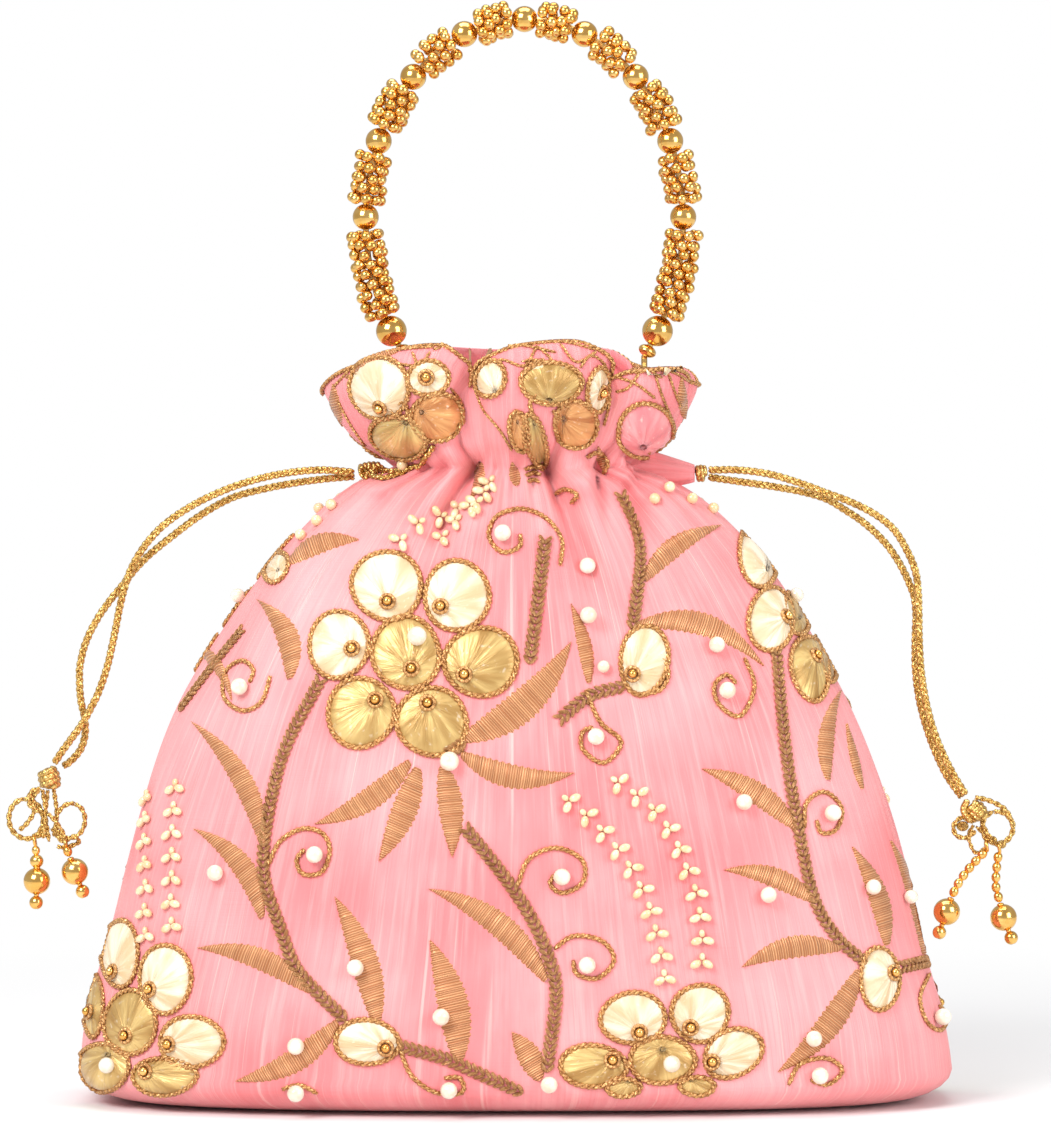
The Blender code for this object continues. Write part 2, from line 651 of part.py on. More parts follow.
def build_dangle(name, plan, gold):
    """An eye and a string of oval beads in one piece, a large bead and a tip bead."""
    point, axis = dangle_pivot(plan)
    pivot = add_pivot(name + "_pivot", point)
    down = Vector((axis.z, 0.0, -axis.x))
    points = []
    swell = []
    for i in range(EYE_POINTS):
        turn = DANGLE_EYE_TURN * (i / EYE_POINTS - 1.0)
        points.append(point + DANGLE_EYE_RADIUS * (down * math.cos(turn)
                                                   + Vector((0.0, math.sin(turn), 0.0))))
        swell.append(1.0)
    route = [point / MM + down * DANGLE_EYE_RADIUS / MM] + plan["string"]
    beads = max(1, round(sum((Vector(a) - Vector(b)).length for a, b in zip(route, route[1:]))
                         * MM / (1.7 * DANGLE_STRING_BEAD)))
    line = smooth_route(route, 2 * beads + 1)
    fat = DANGLE_STRING_BEAD / DANGLE_EYE_WIRE
    for i, place in enumerate(line):
        points.append(place)
        swell.append(1.0 if i == 0 else fat if i % 2 == 1 else STRING_WAIST * fat)
    tube(name + "_string", points, DANGLE_EYE_WIRE, gold, pivot, point, 1, swell)
    for part, radius, segments in (("bead", DANGLE_BEAD_RADIUS, 12), ("tip", DANGLE_TIP_RADIUS, 8)):
        mesh = ball_mesh(f"{name}_{part}", radius, segments, segments // 2)
        add_object(f"{name}_{part}", mesh, gold, Vector(plan[part]) * MM, pivot)


def build():
    clear_scene()
    silk = make_material("pink_silk", (0.78, 0.22, 0.31), 0.55, 0.0)
    gold = make_material("gold_bead", (0.82, 0.56, 0.18), 0.18, 1.0)
    wire = make_material("gilt_wire", (0.70, 0.50, 0.22), 0.35, 1.0)
    cord = make_material("gold_cord", (0.80, 0.58, 0.20), 0.38, 0.8)
    thread = make_material("gold_thread", (0.72, 0.45, 0.22), 0.6, 0.3)
    build_pouch(silk)
    build_handle(gold, wire, thread)
    build_exits(cord)
    build_cords(cord)
    build_bow("bow_left", LEFT_BOW, cord)
    build_bow("bow_right", RIGHT_BOW, cord)
    for name, plan in DANGLES.items():
        build_dangle(name, plan, gold)


build()
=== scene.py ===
"""Looks of the potli bag: pleated raw silk, thread embroidery, beaded handle and plaited cords.

Metres, +Z up, the front faces -Y, as in the frame. A motif's place is a pixel of the photograph,
and it lies where the camera's ray through that pixel meets the cloth. The back carries the same
design, turned half round.
"""
import math
import random

import bpy
import numpy as np
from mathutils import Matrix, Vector
from mathutils.bvhtree import BVHTree


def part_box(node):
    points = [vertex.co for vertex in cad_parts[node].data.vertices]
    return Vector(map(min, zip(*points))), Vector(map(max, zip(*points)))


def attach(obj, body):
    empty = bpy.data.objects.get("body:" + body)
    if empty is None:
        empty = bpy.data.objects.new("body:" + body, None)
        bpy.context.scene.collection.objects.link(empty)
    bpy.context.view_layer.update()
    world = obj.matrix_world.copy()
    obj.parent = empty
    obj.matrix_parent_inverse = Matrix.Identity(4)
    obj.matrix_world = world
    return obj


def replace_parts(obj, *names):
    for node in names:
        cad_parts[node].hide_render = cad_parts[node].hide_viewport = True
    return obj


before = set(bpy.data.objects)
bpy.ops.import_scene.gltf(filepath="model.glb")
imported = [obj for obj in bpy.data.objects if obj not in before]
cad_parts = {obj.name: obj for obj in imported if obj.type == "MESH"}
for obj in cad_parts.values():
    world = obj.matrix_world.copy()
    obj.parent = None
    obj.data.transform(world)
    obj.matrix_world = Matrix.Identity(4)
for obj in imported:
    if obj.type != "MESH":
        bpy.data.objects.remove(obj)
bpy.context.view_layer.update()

MM = 0.001
PIXEL = 0.26 * MM
PHOTO_WIDTH = 1051
PHOTO_HEIGHT = 1146
AXIS_COLUMN = 516
FLOOR_ROW = 1098
CAMERA_DISTANCE = 1.6
CAMERA_RISE = math.radians(2.0)
SENSOR = 36.0


# Small tools

def catmull(points, count=None, step=None, closed=False):
    """Even points along a smooth curve through some points."""
    points = np.asarray(points, float)
    if closed:
        wide = np.vstack([points[-1], points, points[0], points[1]])
    else:
        wide = np.vstack([2 * points[0] - points[1], points, 2 * points[-1] - points[-2]])
    t = np.linspace(0.0, 1.0, 16, endpoint=False)[:, None]
    runs = []
    for a, b, c, d in zip(wide, wide[1:], wide[2:], wide[3:]):
        runs.append(0.5 * (2 * b + (c - a) * t + (2 * a - 5 * b + 4 * c - d) * t ** 2
                           + (3 * b - a - 3 * c + d) * t ** 3))
    fine = np.vstack(runs + [wide[-2][None, :]])
    return resample(fine, count, step)


def run_of(points):
    """Distance from the first point to each point of a line."""
    return np.concatenate([[0.0], np.cumsum(np.linalg.norm(np.diff(points, axis=0), axis=1))])


def along_line(line, lengths, reach):
    """The point that lies some way along a line."""
    return np.array([np.interp(reach, lengths, line[:, c]) for c in range(3)])


def resample(fine, count=None, step=None):
    """Points at an even spacing along a polyline."""
    lengths = run_of(fine)
    if count is None:
        count = max(3, int(round(lengths[-1] / step)) + 1)
    targets = np.linspace(0.0, lengths[-1], count)
    return np.stack([np.interp(targets, lengths, fine[:, k]) for k in range(fine.shape[1])], axis=1)


def through(x, xs, ys):
    """Smooth value at x through stations, with no overshoot at a station."""
    xs = np.asarray(xs, float)
    ys = np.asarray(ys, float)
    slopes = np.diff(ys) / np.diff(xs)
    ends = np.zeros(len(xs))
    ends[0] = slopes[0]
    ends[-1] = slopes[-1]
    same = slopes[:-1] * slopes[1:] > 0
    inner = np.zeros(len(xs) - 2)
    inner[same] = 2 * slopes[:-1][same] * slopes[1:][same] / (slopes[:-1][same] + slopes[1:][same])
    ends[1:-1] = inner
    k = np.clip(np.searchsorted(xs, x) - 1, 0, len(xs) - 2)
    h = xs[k + 1] - xs[k]
    t = np.clip((x - xs[k]) / h, 0.0, 1.0)
    return ((2 * t ** 3 - 3 * t ** 2 + 1) * ys[k] + (t ** 3 - 2 * t ** 2 + t) * h * ends[k]
            + (3 * t ** 2 - 2 * t ** 3) * ys[k + 1] + (t ** 3 - t ** 2) * h * ends[k + 1])


def unit(vectors):
    return vectors / np.maximum(np.linalg.norm(vectors, axis=-1, keepdims=True), 1e-12)


def make_object(name, verts, faces, material, uvs=None, body="bag", smooth=True):
    """A mesh object that rides on a body; uvs are given for each vertex."""
    mesh = bpy.data.meshes.new(name)
    mesh.from_pydata(np.asarray(verts).tolist(), [], faces)
    if uvs is not None:
        layer = mesh.uv_layers.new(name="UVMap")
        index = np.empty(len(mesh.loops), dtype=np.int64)
        mesh.loops.foreach_get("vertex_index", index)
        layer.data.foreach_set("uv", np.asarray(uvs, float)[index].ravel())
    mesh.materials.append(material)
    if smooth:
        mesh.shade_smooth()
    item = bpy.data.objects.new(name, mesh)
    bpy.context.collection.objects.link(item)
    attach(item, body)
    return item


class Heap:
    """Many small forms that end up as one object."""

    def __init__(self, name, material, body="bag", slot=None):
        self.name = name
        self.material = material
        self.body = body
        self.slot = slot
        self.verts = []
        self.uvs = []
        self.faces = []
        self.size = 0

    def add(self, form):
        verts, faces, uvs = form
        self.verts.append(verts)
        self.uvs.append(uvs)
        self.faces += [[k + self.size for k in face] for face in faces]
        self.size += len(verts)

    def build(self):
        return make_object(self.name, np.vstack(self.verts), self.faces, self.material,
                           np.vstack(self.uvs), self.body)


def grid_faces(rows, columns, closed_columns=False, closed_rows=False):
    """Quads between the points of a grid, listed row by row."""
    i = np.arange(rows if closed_rows else rows - 1)[:, None]
    j = np.arange(columns if closed_columns else columns - 1)[None, :]
    a = i * columns + j
    b = i * columns + (j + 1) % columns
    c = ((i + 1) % rows) * columns + (j + 1) % columns
    d = ((i + 1) % rows) * columns + j
    return np.stack([a, b, c, d], axis=-1).reshape(-1, 4)


def frames_along(points, hint=None, closed=False):
    """Tangent, normal and side at each point; the normal follows a hint or turns least."""
    if closed:
        tangents = unit(np.roll(points, -1, axis=0) - np.roll(points, 1, axis=0))
    else:
        tangents = unit(np.gradient(points, axis=0))
    if hint is None:
        normals = np.empty_like(points)
        start = np.array([0.0, 1.0, 0.0])
        if abs(tangents[0] @ start) > 0.9:
            start = np.array([1.0, 0.0, 0.0])
        normal = start - tangents[0] * (tangents[0] @ start)
        for k, tangent in enumerate(tangents):
            normal = normal - tangent * (tangent @ normal)
            normal = normal / np.linalg.norm(normal)
            normals[k] = normal
    else:
        normals = unit(hint - tangents * np.sum(hint * tangents, axis=1, keepdims=True))
    return tangents, normals, np.cross(tangents, normals)


END_TAPER = 0.35


def sweep(points, radii, sides, hint=None, closed=False):
    """A tube along points, drawn in and shut at its ends unless it is closed on itself."""
    points = np.asarray(points, float)
    radii = np.broadcast_to(np.asarray(radii, float), (len(points),)).copy()
    _, normals, side = frames_along(points, hint, closed)
    lengths = run_of(points)
    if not closed:
        radii[0] *= END_TAPER
        radii[-1] *= END_TAPER
    turn = np.arange(sides) * math.tau / sides
    out = (normals[:, None, :] * np.sin(turn)[None, :, None]
           + side[:, None, :] * np.cos(turn)[None, :, None])
    verts = points[:, None, :] + out * radii[:, None, None]
    uvs = np.stack(np.broadcast_arrays(lengths[:, None], (turn / math.tau)[None, :]), axis=-1)
    faces = grid_faces(len(points), sides, True, closed)
    verts = verts.reshape(-1, 3)
    uvs = uvs.reshape(-1, 2)
    if not closed:
        first = np.array([[0, k + 1, k] for k in range(1, sides - 1)])
        last = (len(points) - 1) * sides + np.array([[0, k, k + 1] for k in range(1, sides - 1)])
        faces = faces.tolist() + first.tolist() + last.tolist()
    return verts, faces, uvs


def twisted_cord(heap, points, normals, radius, pitch, plies=2, sides=4, lift=0.6, closed=False):
    """Plies laid round each other along a path on the cloth."""
    lengths = run_of(points)
    if closed:
        whole = max(1, round(lengths[-1] / pitch))
        pitch = lengths[-1] / whole
    _, up, side = frames_along(points, normals, closed)
    for k in range(plies):
        turn = (lengths / pitch + k / plies) * math.tau
        offset = up * (np.sin(turn) * 0.42 * radius)[:, None] + side * (np.cos(turn) * 0.5 * radius)[:, None]
        heap.add(sweep(points + up * (lift * radius) + offset, radius * 0.62, sides, up, closed))


def ball(centre, radius, segments=12, rings=7, squash=(1.0, 1.0, 1.0), axis=None):
    """A ball, turned so that its poles lie along an axis."""
    lat = np.pi * (np.arange(rings + 1)) / rings
    lon = np.arange(segments) * math.tau / segments
    ring = np.stack([np.outer(np.sin(lat[1:-1]), np.cos(lon)), np.outer(np.sin(lat[1:-1]), np.sin(lon)),
                     np.repeat(np.cos(lat[1:-1])[:, None], segments, axis=1)], axis=-1).reshape(-1, 3)
    verts = np.vstack([ring, [0, 0, 1.0], [0, 0, -1.0]]) * np.asarray(squash) * radius
    uvs = np.vstack([np.stack(np.broadcast_arrays(lon[None, :] / math.tau, lat[1:-1, None] / math.pi),
                              axis=-1).reshape(-1, 2), [0.5, 0.0], [0.5, 1.0]])
    if axis is not None:
        verts = verts @ basis(axis)
    faces = grid_faces(rings - 1, segments, True)[:, ::-1].tolist()
    top = (rings - 1) * segments
    base = (rings - 2) * segments
    for k in range(segments):
        follow = (k + 1) % segments
        faces.append([top, k, follow])
        faces.append([top + 1, base + follow, base + k])
    return verts + np.asarray(centre), faces, uvs


def basis(axis):
    """Rows are two directions across an axis and the axis itself."""
    axis = unit(np.asarray(axis, float))
    helper = np.array([0.0, 0.0, 1.0]) if abs(axis[2]) < 0.9 else np.array([1.0, 0.0, 0.0])
    first = unit(np.cross(helper, axis))
    return np.array([first, np.cross(axis, first), axis])


def ring_form(centre, axis, radius, wire, segments=18, sides=6):
    """A round wire ring."""
    rows = basis(axis)
    turn = np.arange(segments) * math.tau / segments
    points = centre + radius * (np.cos(turn)[:, None] * rows[0] + np.sin(turn)[:, None] * rows[1])
    return sweep(points, wire, sides, np.tile(rows[2], (segments, 1)), closed=True)


# Materials

class Graph:
    """A material's node tree with short calls for adding and joining nodes."""

    def __init__(self, name):
        self.material = bpy.data.materials.new(name)
        self.material.use_nodes = True
        self.tree = self.material.node_tree
        self.shader = self.tree.nodes["Principled BSDF"]

    def node(self, kind, settings=None, **inputs):
        node = self.tree.nodes.new(kind)
        for key, value in (settings or {}).items():
            setattr(node, key, value)
        for key, value in inputs.items():
            self.put(node.inputs[key.replace("_", " ")], value)
        return node

    def put(self, socket, value):
        if isinstance(value, bpy.types.NodeSocket):
            self.tree.links.new(value, socket)
        else:
            socket.default_value = value

    def math(self, operation, first, second=0.0, third=0.0):
        node = self.tree.nodes.new("ShaderNodeMath")
        node.operation = operation
        for socket, value in zip(node.inputs, (first, second, third)):
            self.put(socket, value)
        return node.outputs[0]

    def uv(self, across=1.0, along=1.0):
        """UV coordinates scaled for a texture."""
        source = self.node("ShaderNodeUVMap", {"uv_map": "UVMap"})
        mapping = self.node("ShaderNodeMapping", Vector=source.outputs[0],
                            Scale=(across, along, 1.0))
        return mapping.outputs[0]

    def place(self, scale=1.0):
        """The piece's own coordinates in metres."""
        source = self.node("ShaderNodeTexCoord")
        mapping = self.node("ShaderNodeMapping", Vector=source.outputs["Object"],
                            Scale=(scale, scale, scale))
        return mapping.outputs[0]

    def noise(self, vector, scale=1.0, detail=3.0, roughness=0.5):
        node = self.node("ShaderNodeTexNoise", Vector=vector, Scale=scale, Detail=detail,
                         Roughness=roughness)
        return node.outputs["Fac"]

    def step(self, value, low, high):
        node = self.node("ShaderNodeMapRange", {"interpolation_type": "SMOOTHSTEP"}, Value=value)
        node.inputs["From Min"].default_value = low
        node.inputs["From Max"].default_value = high
        return node.outputs[0]

    def mix(self, factor, first, second, blend="MIX"):
        node = self.node("ShaderNodeMix", {"data_type": "RGBA", "blend_type": blend})
        self.put(node.inputs["Factor"], factor)
        for socket, value in ((node.inputs[6], first), (node.inputs[7], second)):
            self.put(socket, (*value, 1.0) if isinstance(value, tuple) and len(value) == 3 else value)
        return node.outputs[2]

    def bump(self, height, strength, distance, below=None):
        node = self.node("ShaderNodeBump", Strength=strength, Distance=distance, Height=height)
        if below is not None:
            self.put(node.inputs["Normal"], below)
        return node.outputs[0]

    def finish(self, colour, roughness, metallic=0.0, normal=None, **constants):
        self.put(self.shader.inputs["Base Color"], colour)
        self.put(self.shader.inputs["Roughness"], roughness)
        self.shader.inputs["Metallic"].default_value = metallic
        if normal is not None:
            self.put(self.shader.inputs["Normal"], normal)
        for key, value in constants.items():
            self.shader.inputs[key.replace("_", " ")].default_value = value
        return self.material


def silk_material(name, light, deep):
    """Raw silk: fine upright threads with slubs, and a soft sheen."""
    g = Graph(name)
    threads = g.noise(g.uv(2600.0, 40.0), detail=2.0)
    wefts = g.noise(g.uv(90.0, 2200.0), detail=2.0)
    slubs = g.noise(g.uv(520.0, 22.0), detail=4.0, roughness=0.6)
    long_slub = g.step(g.noise(g.uv(900.0, 9.0), detail=2.0), 0.60, 0.74)
    cloud = g.noise(g.place(22.0), detail=3.0)
    colour = g.mix(g.step(cloud, 0.30, 0.72), deep, light)
    colour = g.mix(g.math("MULTIPLY", g.step(slubs, 0.42, 0.78), 0.42), colour, (0.95, 0.52, 0.50))
    colour = g.mix(g.math("MULTIPLY", g.step(threads, 0.55, 0.30), 0.30), colour, deep)
    colour = g.mix(g.math("MULTIPLY", long_slub, 0.45), colour, (0.98, 0.66, 0.60))
    height = g.math("ADD", g.math("MULTIPLY", threads, 0.7), g.math("MULTIPLY", wefts, 0.35))
    height = g.math("ADD", height, g.math("MULTIPLY", slubs, 0.8))
    height = g.math("ADD", height, g.math("MULTIPLY", long_slub, 0.5))
    rough = g.math("ADD", 0.40, g.math("MULTIPLY", slubs, 0.22))
    normal = g.bump(height, 0.55, 0.00035)
    return g.finish(colour, rough, 0.0, normal, Sheen_Weight=0.25, Sheen_Roughness=0.35,
                    Sheen_Tint=(1.0, 0.72, 0.70, 1.0), Specular_IOR_Level=0.45)


def satin_material(name, light, deep, metallic, across=26.0):
    """Satin stitch: threads that fan out along V, with a painted glint along each one."""
    g = Graph(name)
    threads = g.noise(g.uv(across, 1.2), detail=2.0, roughness=0.55)
    strands = g.noise(g.uv(across * 0.35, 0.8), detail=2.0)
    painted_glint = g.noise(g.uv(across * 0.8, 7.0), detail=2.0)
    colour = g.mix(g.step(strands, 0.30, 0.70), deep, light)
    colour = g.mix(g.math("MULTIPLY", g.step(threads, 0.48, 0.28), 0.55), colour, deep)
    # Painted highlight: pale glints streaked along the threads
    colour = g.mix(g.math("MULTIPLY", g.step(painted_glint, 0.60, 0.75), 0.30), colour, (1.0, 0.93, 0.78))
    height = g.math("ADD", g.math("MULTIPLY", threads, 1.0), g.math("MULTIPLY", strands, 0.9))
    rough = g.math("ADD", 0.26, g.math("MULTIPLY", threads, 0.26))
    normal = g.bump(height, 0.8, 0.0006)
    return g.finish(colour, rough, metallic, normal, Sheen_Weight=0.2, Sheen_Roughness=0.3)


def leaf_material(name, light, deep):
    """Slanting copper thread with needle holes; painted shade darkens the holes and the grooves between
    stitches, and a painted highlight lies on the stitches' crests.
    """
    g = Graph(name)
    source = g.node("ShaderNodeUVMap", {"uv_map": "UVMap"})
    parts = g.node("ShaderNodeSeparateXYZ", Vector=source.outputs[0])
    along = parts.outputs[0]
    across = parts.outputs[1]
    wobble = g.math("MULTIPLY", g.noise(g.uv(300.0, 3.0)), 0.0016)
    slant = g.math("ADD", g.math("ADD", along, g.math("MULTIPLY", across, 0.0016)), wobble)
    stripes = g.math("SINE", g.math("MULTIPLY", slant, math.tau / 0.00062))
    holes = g.step(g.noise(g.uv(1500.0, 6.5), detail=1.0), 0.655, 0.70)
    patches = g.noise(g.uv(500.0, 3.0))
    colour = g.mix(g.step(patches, 0.32, 0.68), deep, light)
    # Painted shade in the grooves between the stitches
    colour = g.mix(g.step(stripes, 0.1, -1.0), colour, deep)
    # Painted highlight on the crests of the stitches
    colour = g.mix(g.math("MULTIPLY", g.step(stripes, 0.5, 1.0), 0.35), colour, (0.93, 0.60, 0.36))
    # Painted shade: the needle holes are coloured near black
    colour = g.mix(holes, colour, (0.10, 0.035, 0.015))
    height = g.math("SUBTRACT", g.math("MULTIPLY", stripes, 0.5), g.math("MULTIPLY", holes, 1.5))
    normal = g.bump(height, 0.7, 0.0003)
    return g.finish(colour, 0.38, 0.35, normal, Sheen_Weight=0.15)


def cord_material(name, light, deep, pitch=0.0011, metallic=0.75, roughness=0.32):
    """Metallic thread wound round a core, with painted shade in the grooves between its turns."""
    g = Graph(name)
    source = g.node("ShaderNodeUVMap", {"uv_map": "UVMap"})
    parts = g.node("ShaderNodeSeparateXYZ", Vector=source.outputs[0])
    turns = g.math("ADD", g.math("DIVIDE", parts.outputs[0], pitch), parts.outputs[1])
    groove = g.math("SINE", g.math("MULTIPLY", turns, math.tau))
    patches = g.noise(g.place(900.0))
    colour = g.mix(g.step(patches, 0.30, 0.70), deep, light)
    # Painted shade: darker in the grooves between the turns
    colour = g.mix(g.math("MULTIPLY", g.step(groove, 0.0, -1.0), 0.7), colour, deep)
    normal = g.bump(groove, 0.6, 0.00016)
    return g.finish(colour, roughness, metallic, normal)


def metal_material(name, light, deep, roughness):
    """Polished plated metal with faint handling marks."""
    g = Graph(name)
    cloud = g.noise(g.place(260.0), detail=4.0)
    colour = g.mix(g.step(cloud, 0.35, 0.70), deep, light)
    rough = g.math("ADD", roughness, g.math("MULTIPLY", g.noise(g.place(1500.0)), 0.08))
    normal = g.bump(g.noise(g.place(700.0), detail=3.0), 0.10, 0.0002)
    return g.finish(colour, rough, 1.0, normal)


def pearl_material(name, light, deep, roughness=0.16):
    """Nacre: a pale body with slow bands under a clear coat."""
    g = Graph(name)
    cloud = g.noise(g.place(330.0), detail=3.0)
    colour = g.mix(g.step(cloud, 0.32, 0.68), deep, light)
    rough = g.math("ADD", roughness, g.math("MULTIPLY", cloud, 0.10))
    normal = g.bump(g.noise(g.place(1200.0), detail=2.0), 0.06, 0.0002)
    return g.finish(colour, rough, 0.0, normal, Coat_Weight=0.6, Coat_Roughness=0.08,
                    Sheen_Weight=0.2, Specular_IOR_Level=0.7)


def make_materials():
    """Every finish by name; the linear colours are judged from the photograph."""
    return {
        "silk": silk_material("pink_raw_silk", (0.88, 0.34, 0.35), (0.76, 0.19, 0.20)),
        "lining": silk_material("pink_lining", (0.86, 0.32, 0.35), (0.70, 0.17, 0.19)),
        "cream": satin_material("cream_satin_stitch", (0.90, 0.79, 0.60), (0.66, 0.46, 0.25), 0.0),
        "gold_satin": satin_material("gold_satin_stitch", (0.74, 0.52, 0.20), (0.40, 0.22, 0.06), 0.35),
        "copper_satin": satin_material("copper_satin_stitch", (0.78, 0.40, 0.15), (0.46, 0.17, 0.05), 0.25),
        "pink_satin": satin_material("pink_satin_stitch", (0.88, 0.34, 0.34), (0.70, 0.18, 0.20), 0.0),
        "leaf": leaf_material("copper_leaf_stitch", (0.70, 0.33, 0.14), (0.42, 0.15, 0.05)),
        "outline": cord_material("couched_gold_cord", (0.80, 0.47, 0.19), (0.42, 0.19, 0.06), 0.0011, 0.55),
        "stem": cord_material("chain_stitch_thread", (0.76, 0.43, 0.19), (0.42, 0.18, 0.06), 0.0013, 0.45),
        "bead": metal_material("polished_gold", (0.93, 0.60, 0.20), (0.80, 0.45, 0.11), 0.10),
        "small_bead": metal_material("gold_seed_bead", (0.90, 0.58, 0.20), (0.72, 0.39, 0.09), 0.14),
        "wire": metal_material("gilt_wire", (0.80, 0.55, 0.22), (0.62, 0.38, 0.12), 0.26),
        "cord": cord_material("plaited_gold_cord", (0.88, 0.62, 0.22), (0.50, 0.28, 0.07), 0.0009, 0.85,
                              0.27),
        "thread": cord_material("sewn_gold_thread", (0.78, 0.47, 0.20), (0.44, 0.20, 0.07), 0.0008, 0.5),
        "pearl": pearl_material("pearl", (0.90, 0.82, 0.68), (0.76, 0.62, 0.45)),
        "cream_bead": pearl_material("cream_seed_bead", (0.90, 0.72, 0.46), (0.78, 0.52, 0.26), 0.14),
    }


# The cloth

# Outline of the bag above its base edge: height, half width and half depth in millimetres
BODY_OUTLINE = [
    (8.0, 113.3, 47.5), (22.0, 111.4, 47.2), (42.0, 106.0, 45.8), (61.0, 101.4, 43.9),
    (85.0, 93.9, 40.9), (101.0, 87.7, 38.4), (119.0, 78.1, 34.6), (137.0, 66.6, 30.4),
    (147.0, 58.3, 27.8), (155.5, 49.5, 25.2), (160.0, 42.5, 23.4), (162.6, 36.0, 22.0),
    (164.2, 32.4, 21.2)]
BASE_EDGE_REACH = 17.5
BASE_POWER = 2.7
NECK_POWER = 2.2
NECK_TOP = 164.2
FRILL_TOP = 197.0
FRILL_HALF_WIDTH = 49.2
FRILL_HALF_DEPTH = 34.0
# Share of the way from the neck to the full flare, by share of the frill's height
FRILL_FLARE = [(0.0, 0.0), (0.07, 0.16), (0.22, 0.55), (0.45, 0.84), (0.66, 1.0), (0.80, 0.97),
               (0.92, 0.84), (1.0, 0.66)]
# Rim of the frill: angle in degrees, where -90 is the front and 180 the left, and height
RIM = [(-180, 184.0), (-154, 190.0), (-131, 194.6), (-115, 196.0), (-107, 192.0), (-103, 186.0),
       (-98, 192.5), (-88, 196.0), (-72, 196.8), (-65, 194.5), (-60, 187.5), (-54, 189.5),
       (-38, 190.5), (-12, 186.0), (8, 185.0), (28, 190.0), (44, 186.5), (60, 194.5), (74, 195.5),
       (84, 187.5), (94, 195.0), (110, 195.6), (124, 187.0), (140, 192.0), (160, 187.5),
       (180, 184.0)]
# Creases gathered into the neck: angle, depth and width in millimetres at the neck, and how far
# each one runs down the bag and up the frill
CREASES = [
    (-168, 2.4, 1.7, 10, 7), (-157, 3.4, 1.8, 16, 10), (-146, 2.0, 1.3, 9, 6),
    (-135, 3.6, 1.8, 22, 11), (-121, 3.0, 1.6, 14, 8), (-108, 5.6, 2.0, 20, 12),
    (-97, 3.0, 1.4, 14, 7), (-90, 1.6, 1.2, 24, 5), (-83, 4.2, 1.5, 20, 8), (-76, 5.6, 1.7, 18, 14),
    (-66, 2.0, 1.3, 8, 7), (-51, 5.0, 1.9, 24, 11), (-42, 2.4, 1.4, 12, 6), (-33, 3.8, 1.7, 18, 9),
    (-20, 2.6, 1.5, 10, 7), (-9, 3.4, 1.7, 12, 9)]
BACK_CREASES = 20
# Deep gaps between the frill's puffs: angle, depth at the rim, width
LOBE_GAPS = [(-103.5, 12.0, 2.6), (-60.0, 10.0, 2.6), (-150.0, 3.0, 2.4), (-20.0, 3.5, 2.6),
             (4.0, 7.0, 3.0), (44.0, 9.0, 2.8), (84.0, 11.0, 2.8), (124.0, 10.0, 2.8),
             (160.0, 7.0, 2.8)]
# Folds seen on the front: two pixels from the neck down, half widths at both ends, depth
VALLEYS = [
    ((474, 470), (415, 566), 5, 20, 4.2), ((532, 478), (538, 590), 3, 12, 2.6),
    ((551, 476), (622, 650), 6, 22, 8.0), ((598, 479), (616, 560), 4, 14, 3.6),
    ((632, 462), (676, 540), 4, 15, 2.6), ((440, 468), (352, 540), 4, 16, 2.2),
    ((500, 474), (470, 700), 5, 26, 1.6), ((640, 520), (700, 800), 12, 30, 1.8),
    ((395, 480), (250, 700), 6, 34, 1.4), ((600, 640), (560, 900), 16, 40, 1.4)]
RIDGES = [
    ((506, 470), (512, 620), 7, 22, 2.8), ((452, 474), (380, 560), 8, 20, 2.0),
    ((580, 474), (632, 600), 10, 16, 2.6), ((618, 470), (650, 560), 6, 14, 1.8),
    ((660, 480), (760, 640), 10, 26, 1.4)]
# Puffs at the neck: pixel, half sizes in pixels, height in millimetres
PUFFS = [((573, 474), 25, 22, 5.2), ((452, 458), 22, 12, 3.0), ((499, 466), 11, 20, 2.6),
         ((622, 470), 17, 14, 3.2), ((376, 486), 22, 8, 2.0), ((650, 478), 16, 10, 1.6)]
CLOTH_COLUMNS = 320
CLOTH_GIRTH = 0.60
SILK_THICKNESS = 0.0007
FRILL_ROWS = 36
EDGE_ROWS = 6
BASE_SHARES = (0.04, 0.30, 0.55, 0.78)
# Stretches of the wall: from and to in millimetres, and how many rows mark them out
WALL_BANDS = [(8.0, 120.0, 52), (120.0, 150.0, 22), (150.0, NECK_TOP, 17)]
LINING_GAP = 1.5 * MM
CUP_FLOOR = 184.0 * MM


def bag_x(column):
    return (column - AXIS_COLUMN) * PIXEL / MM


def bag_z(row):
    return (FLOOR_ROW - row) * PIXEL / MM


def ease(value):
    return value * value * (3.0 - 2.0 * value)


def back_creases():
    """Seeded pleats for the half that the photograph doesn't show."""
    draw = random.Random(7)
    creases = []
    for k in range(BACK_CREASES):
        angle = 2.0 + 176.0 * (k + draw.uniform(0.2, 0.8)) / BACK_CREASES
        creases.append((angle, draw.uniform(2.2, 5.2), draw.uniform(1.4, 2.0),
                        draw.uniform(10, 26), draw.uniform(6, 13)))
    return creases


def back_folds():
    """Seeded folds below the neck on the back, as the front's pixels mirrored."""
    draw = random.Random(11)
    folds = []
    for k in range(9):
        top = 405 + 27 * k + draw.uniform(-6, 6)
        lean = (top - AXIS_COLUMN) * draw.uniform(0.5, 1.1)
        reach = draw.uniform(70, 220)
        folds.append(((top, 472), (top + lean, 472 + reach), draw.uniform(3, 6),
                      draw.uniform(14, 26), draw.uniform(1.8, 5.0)))
    return folds


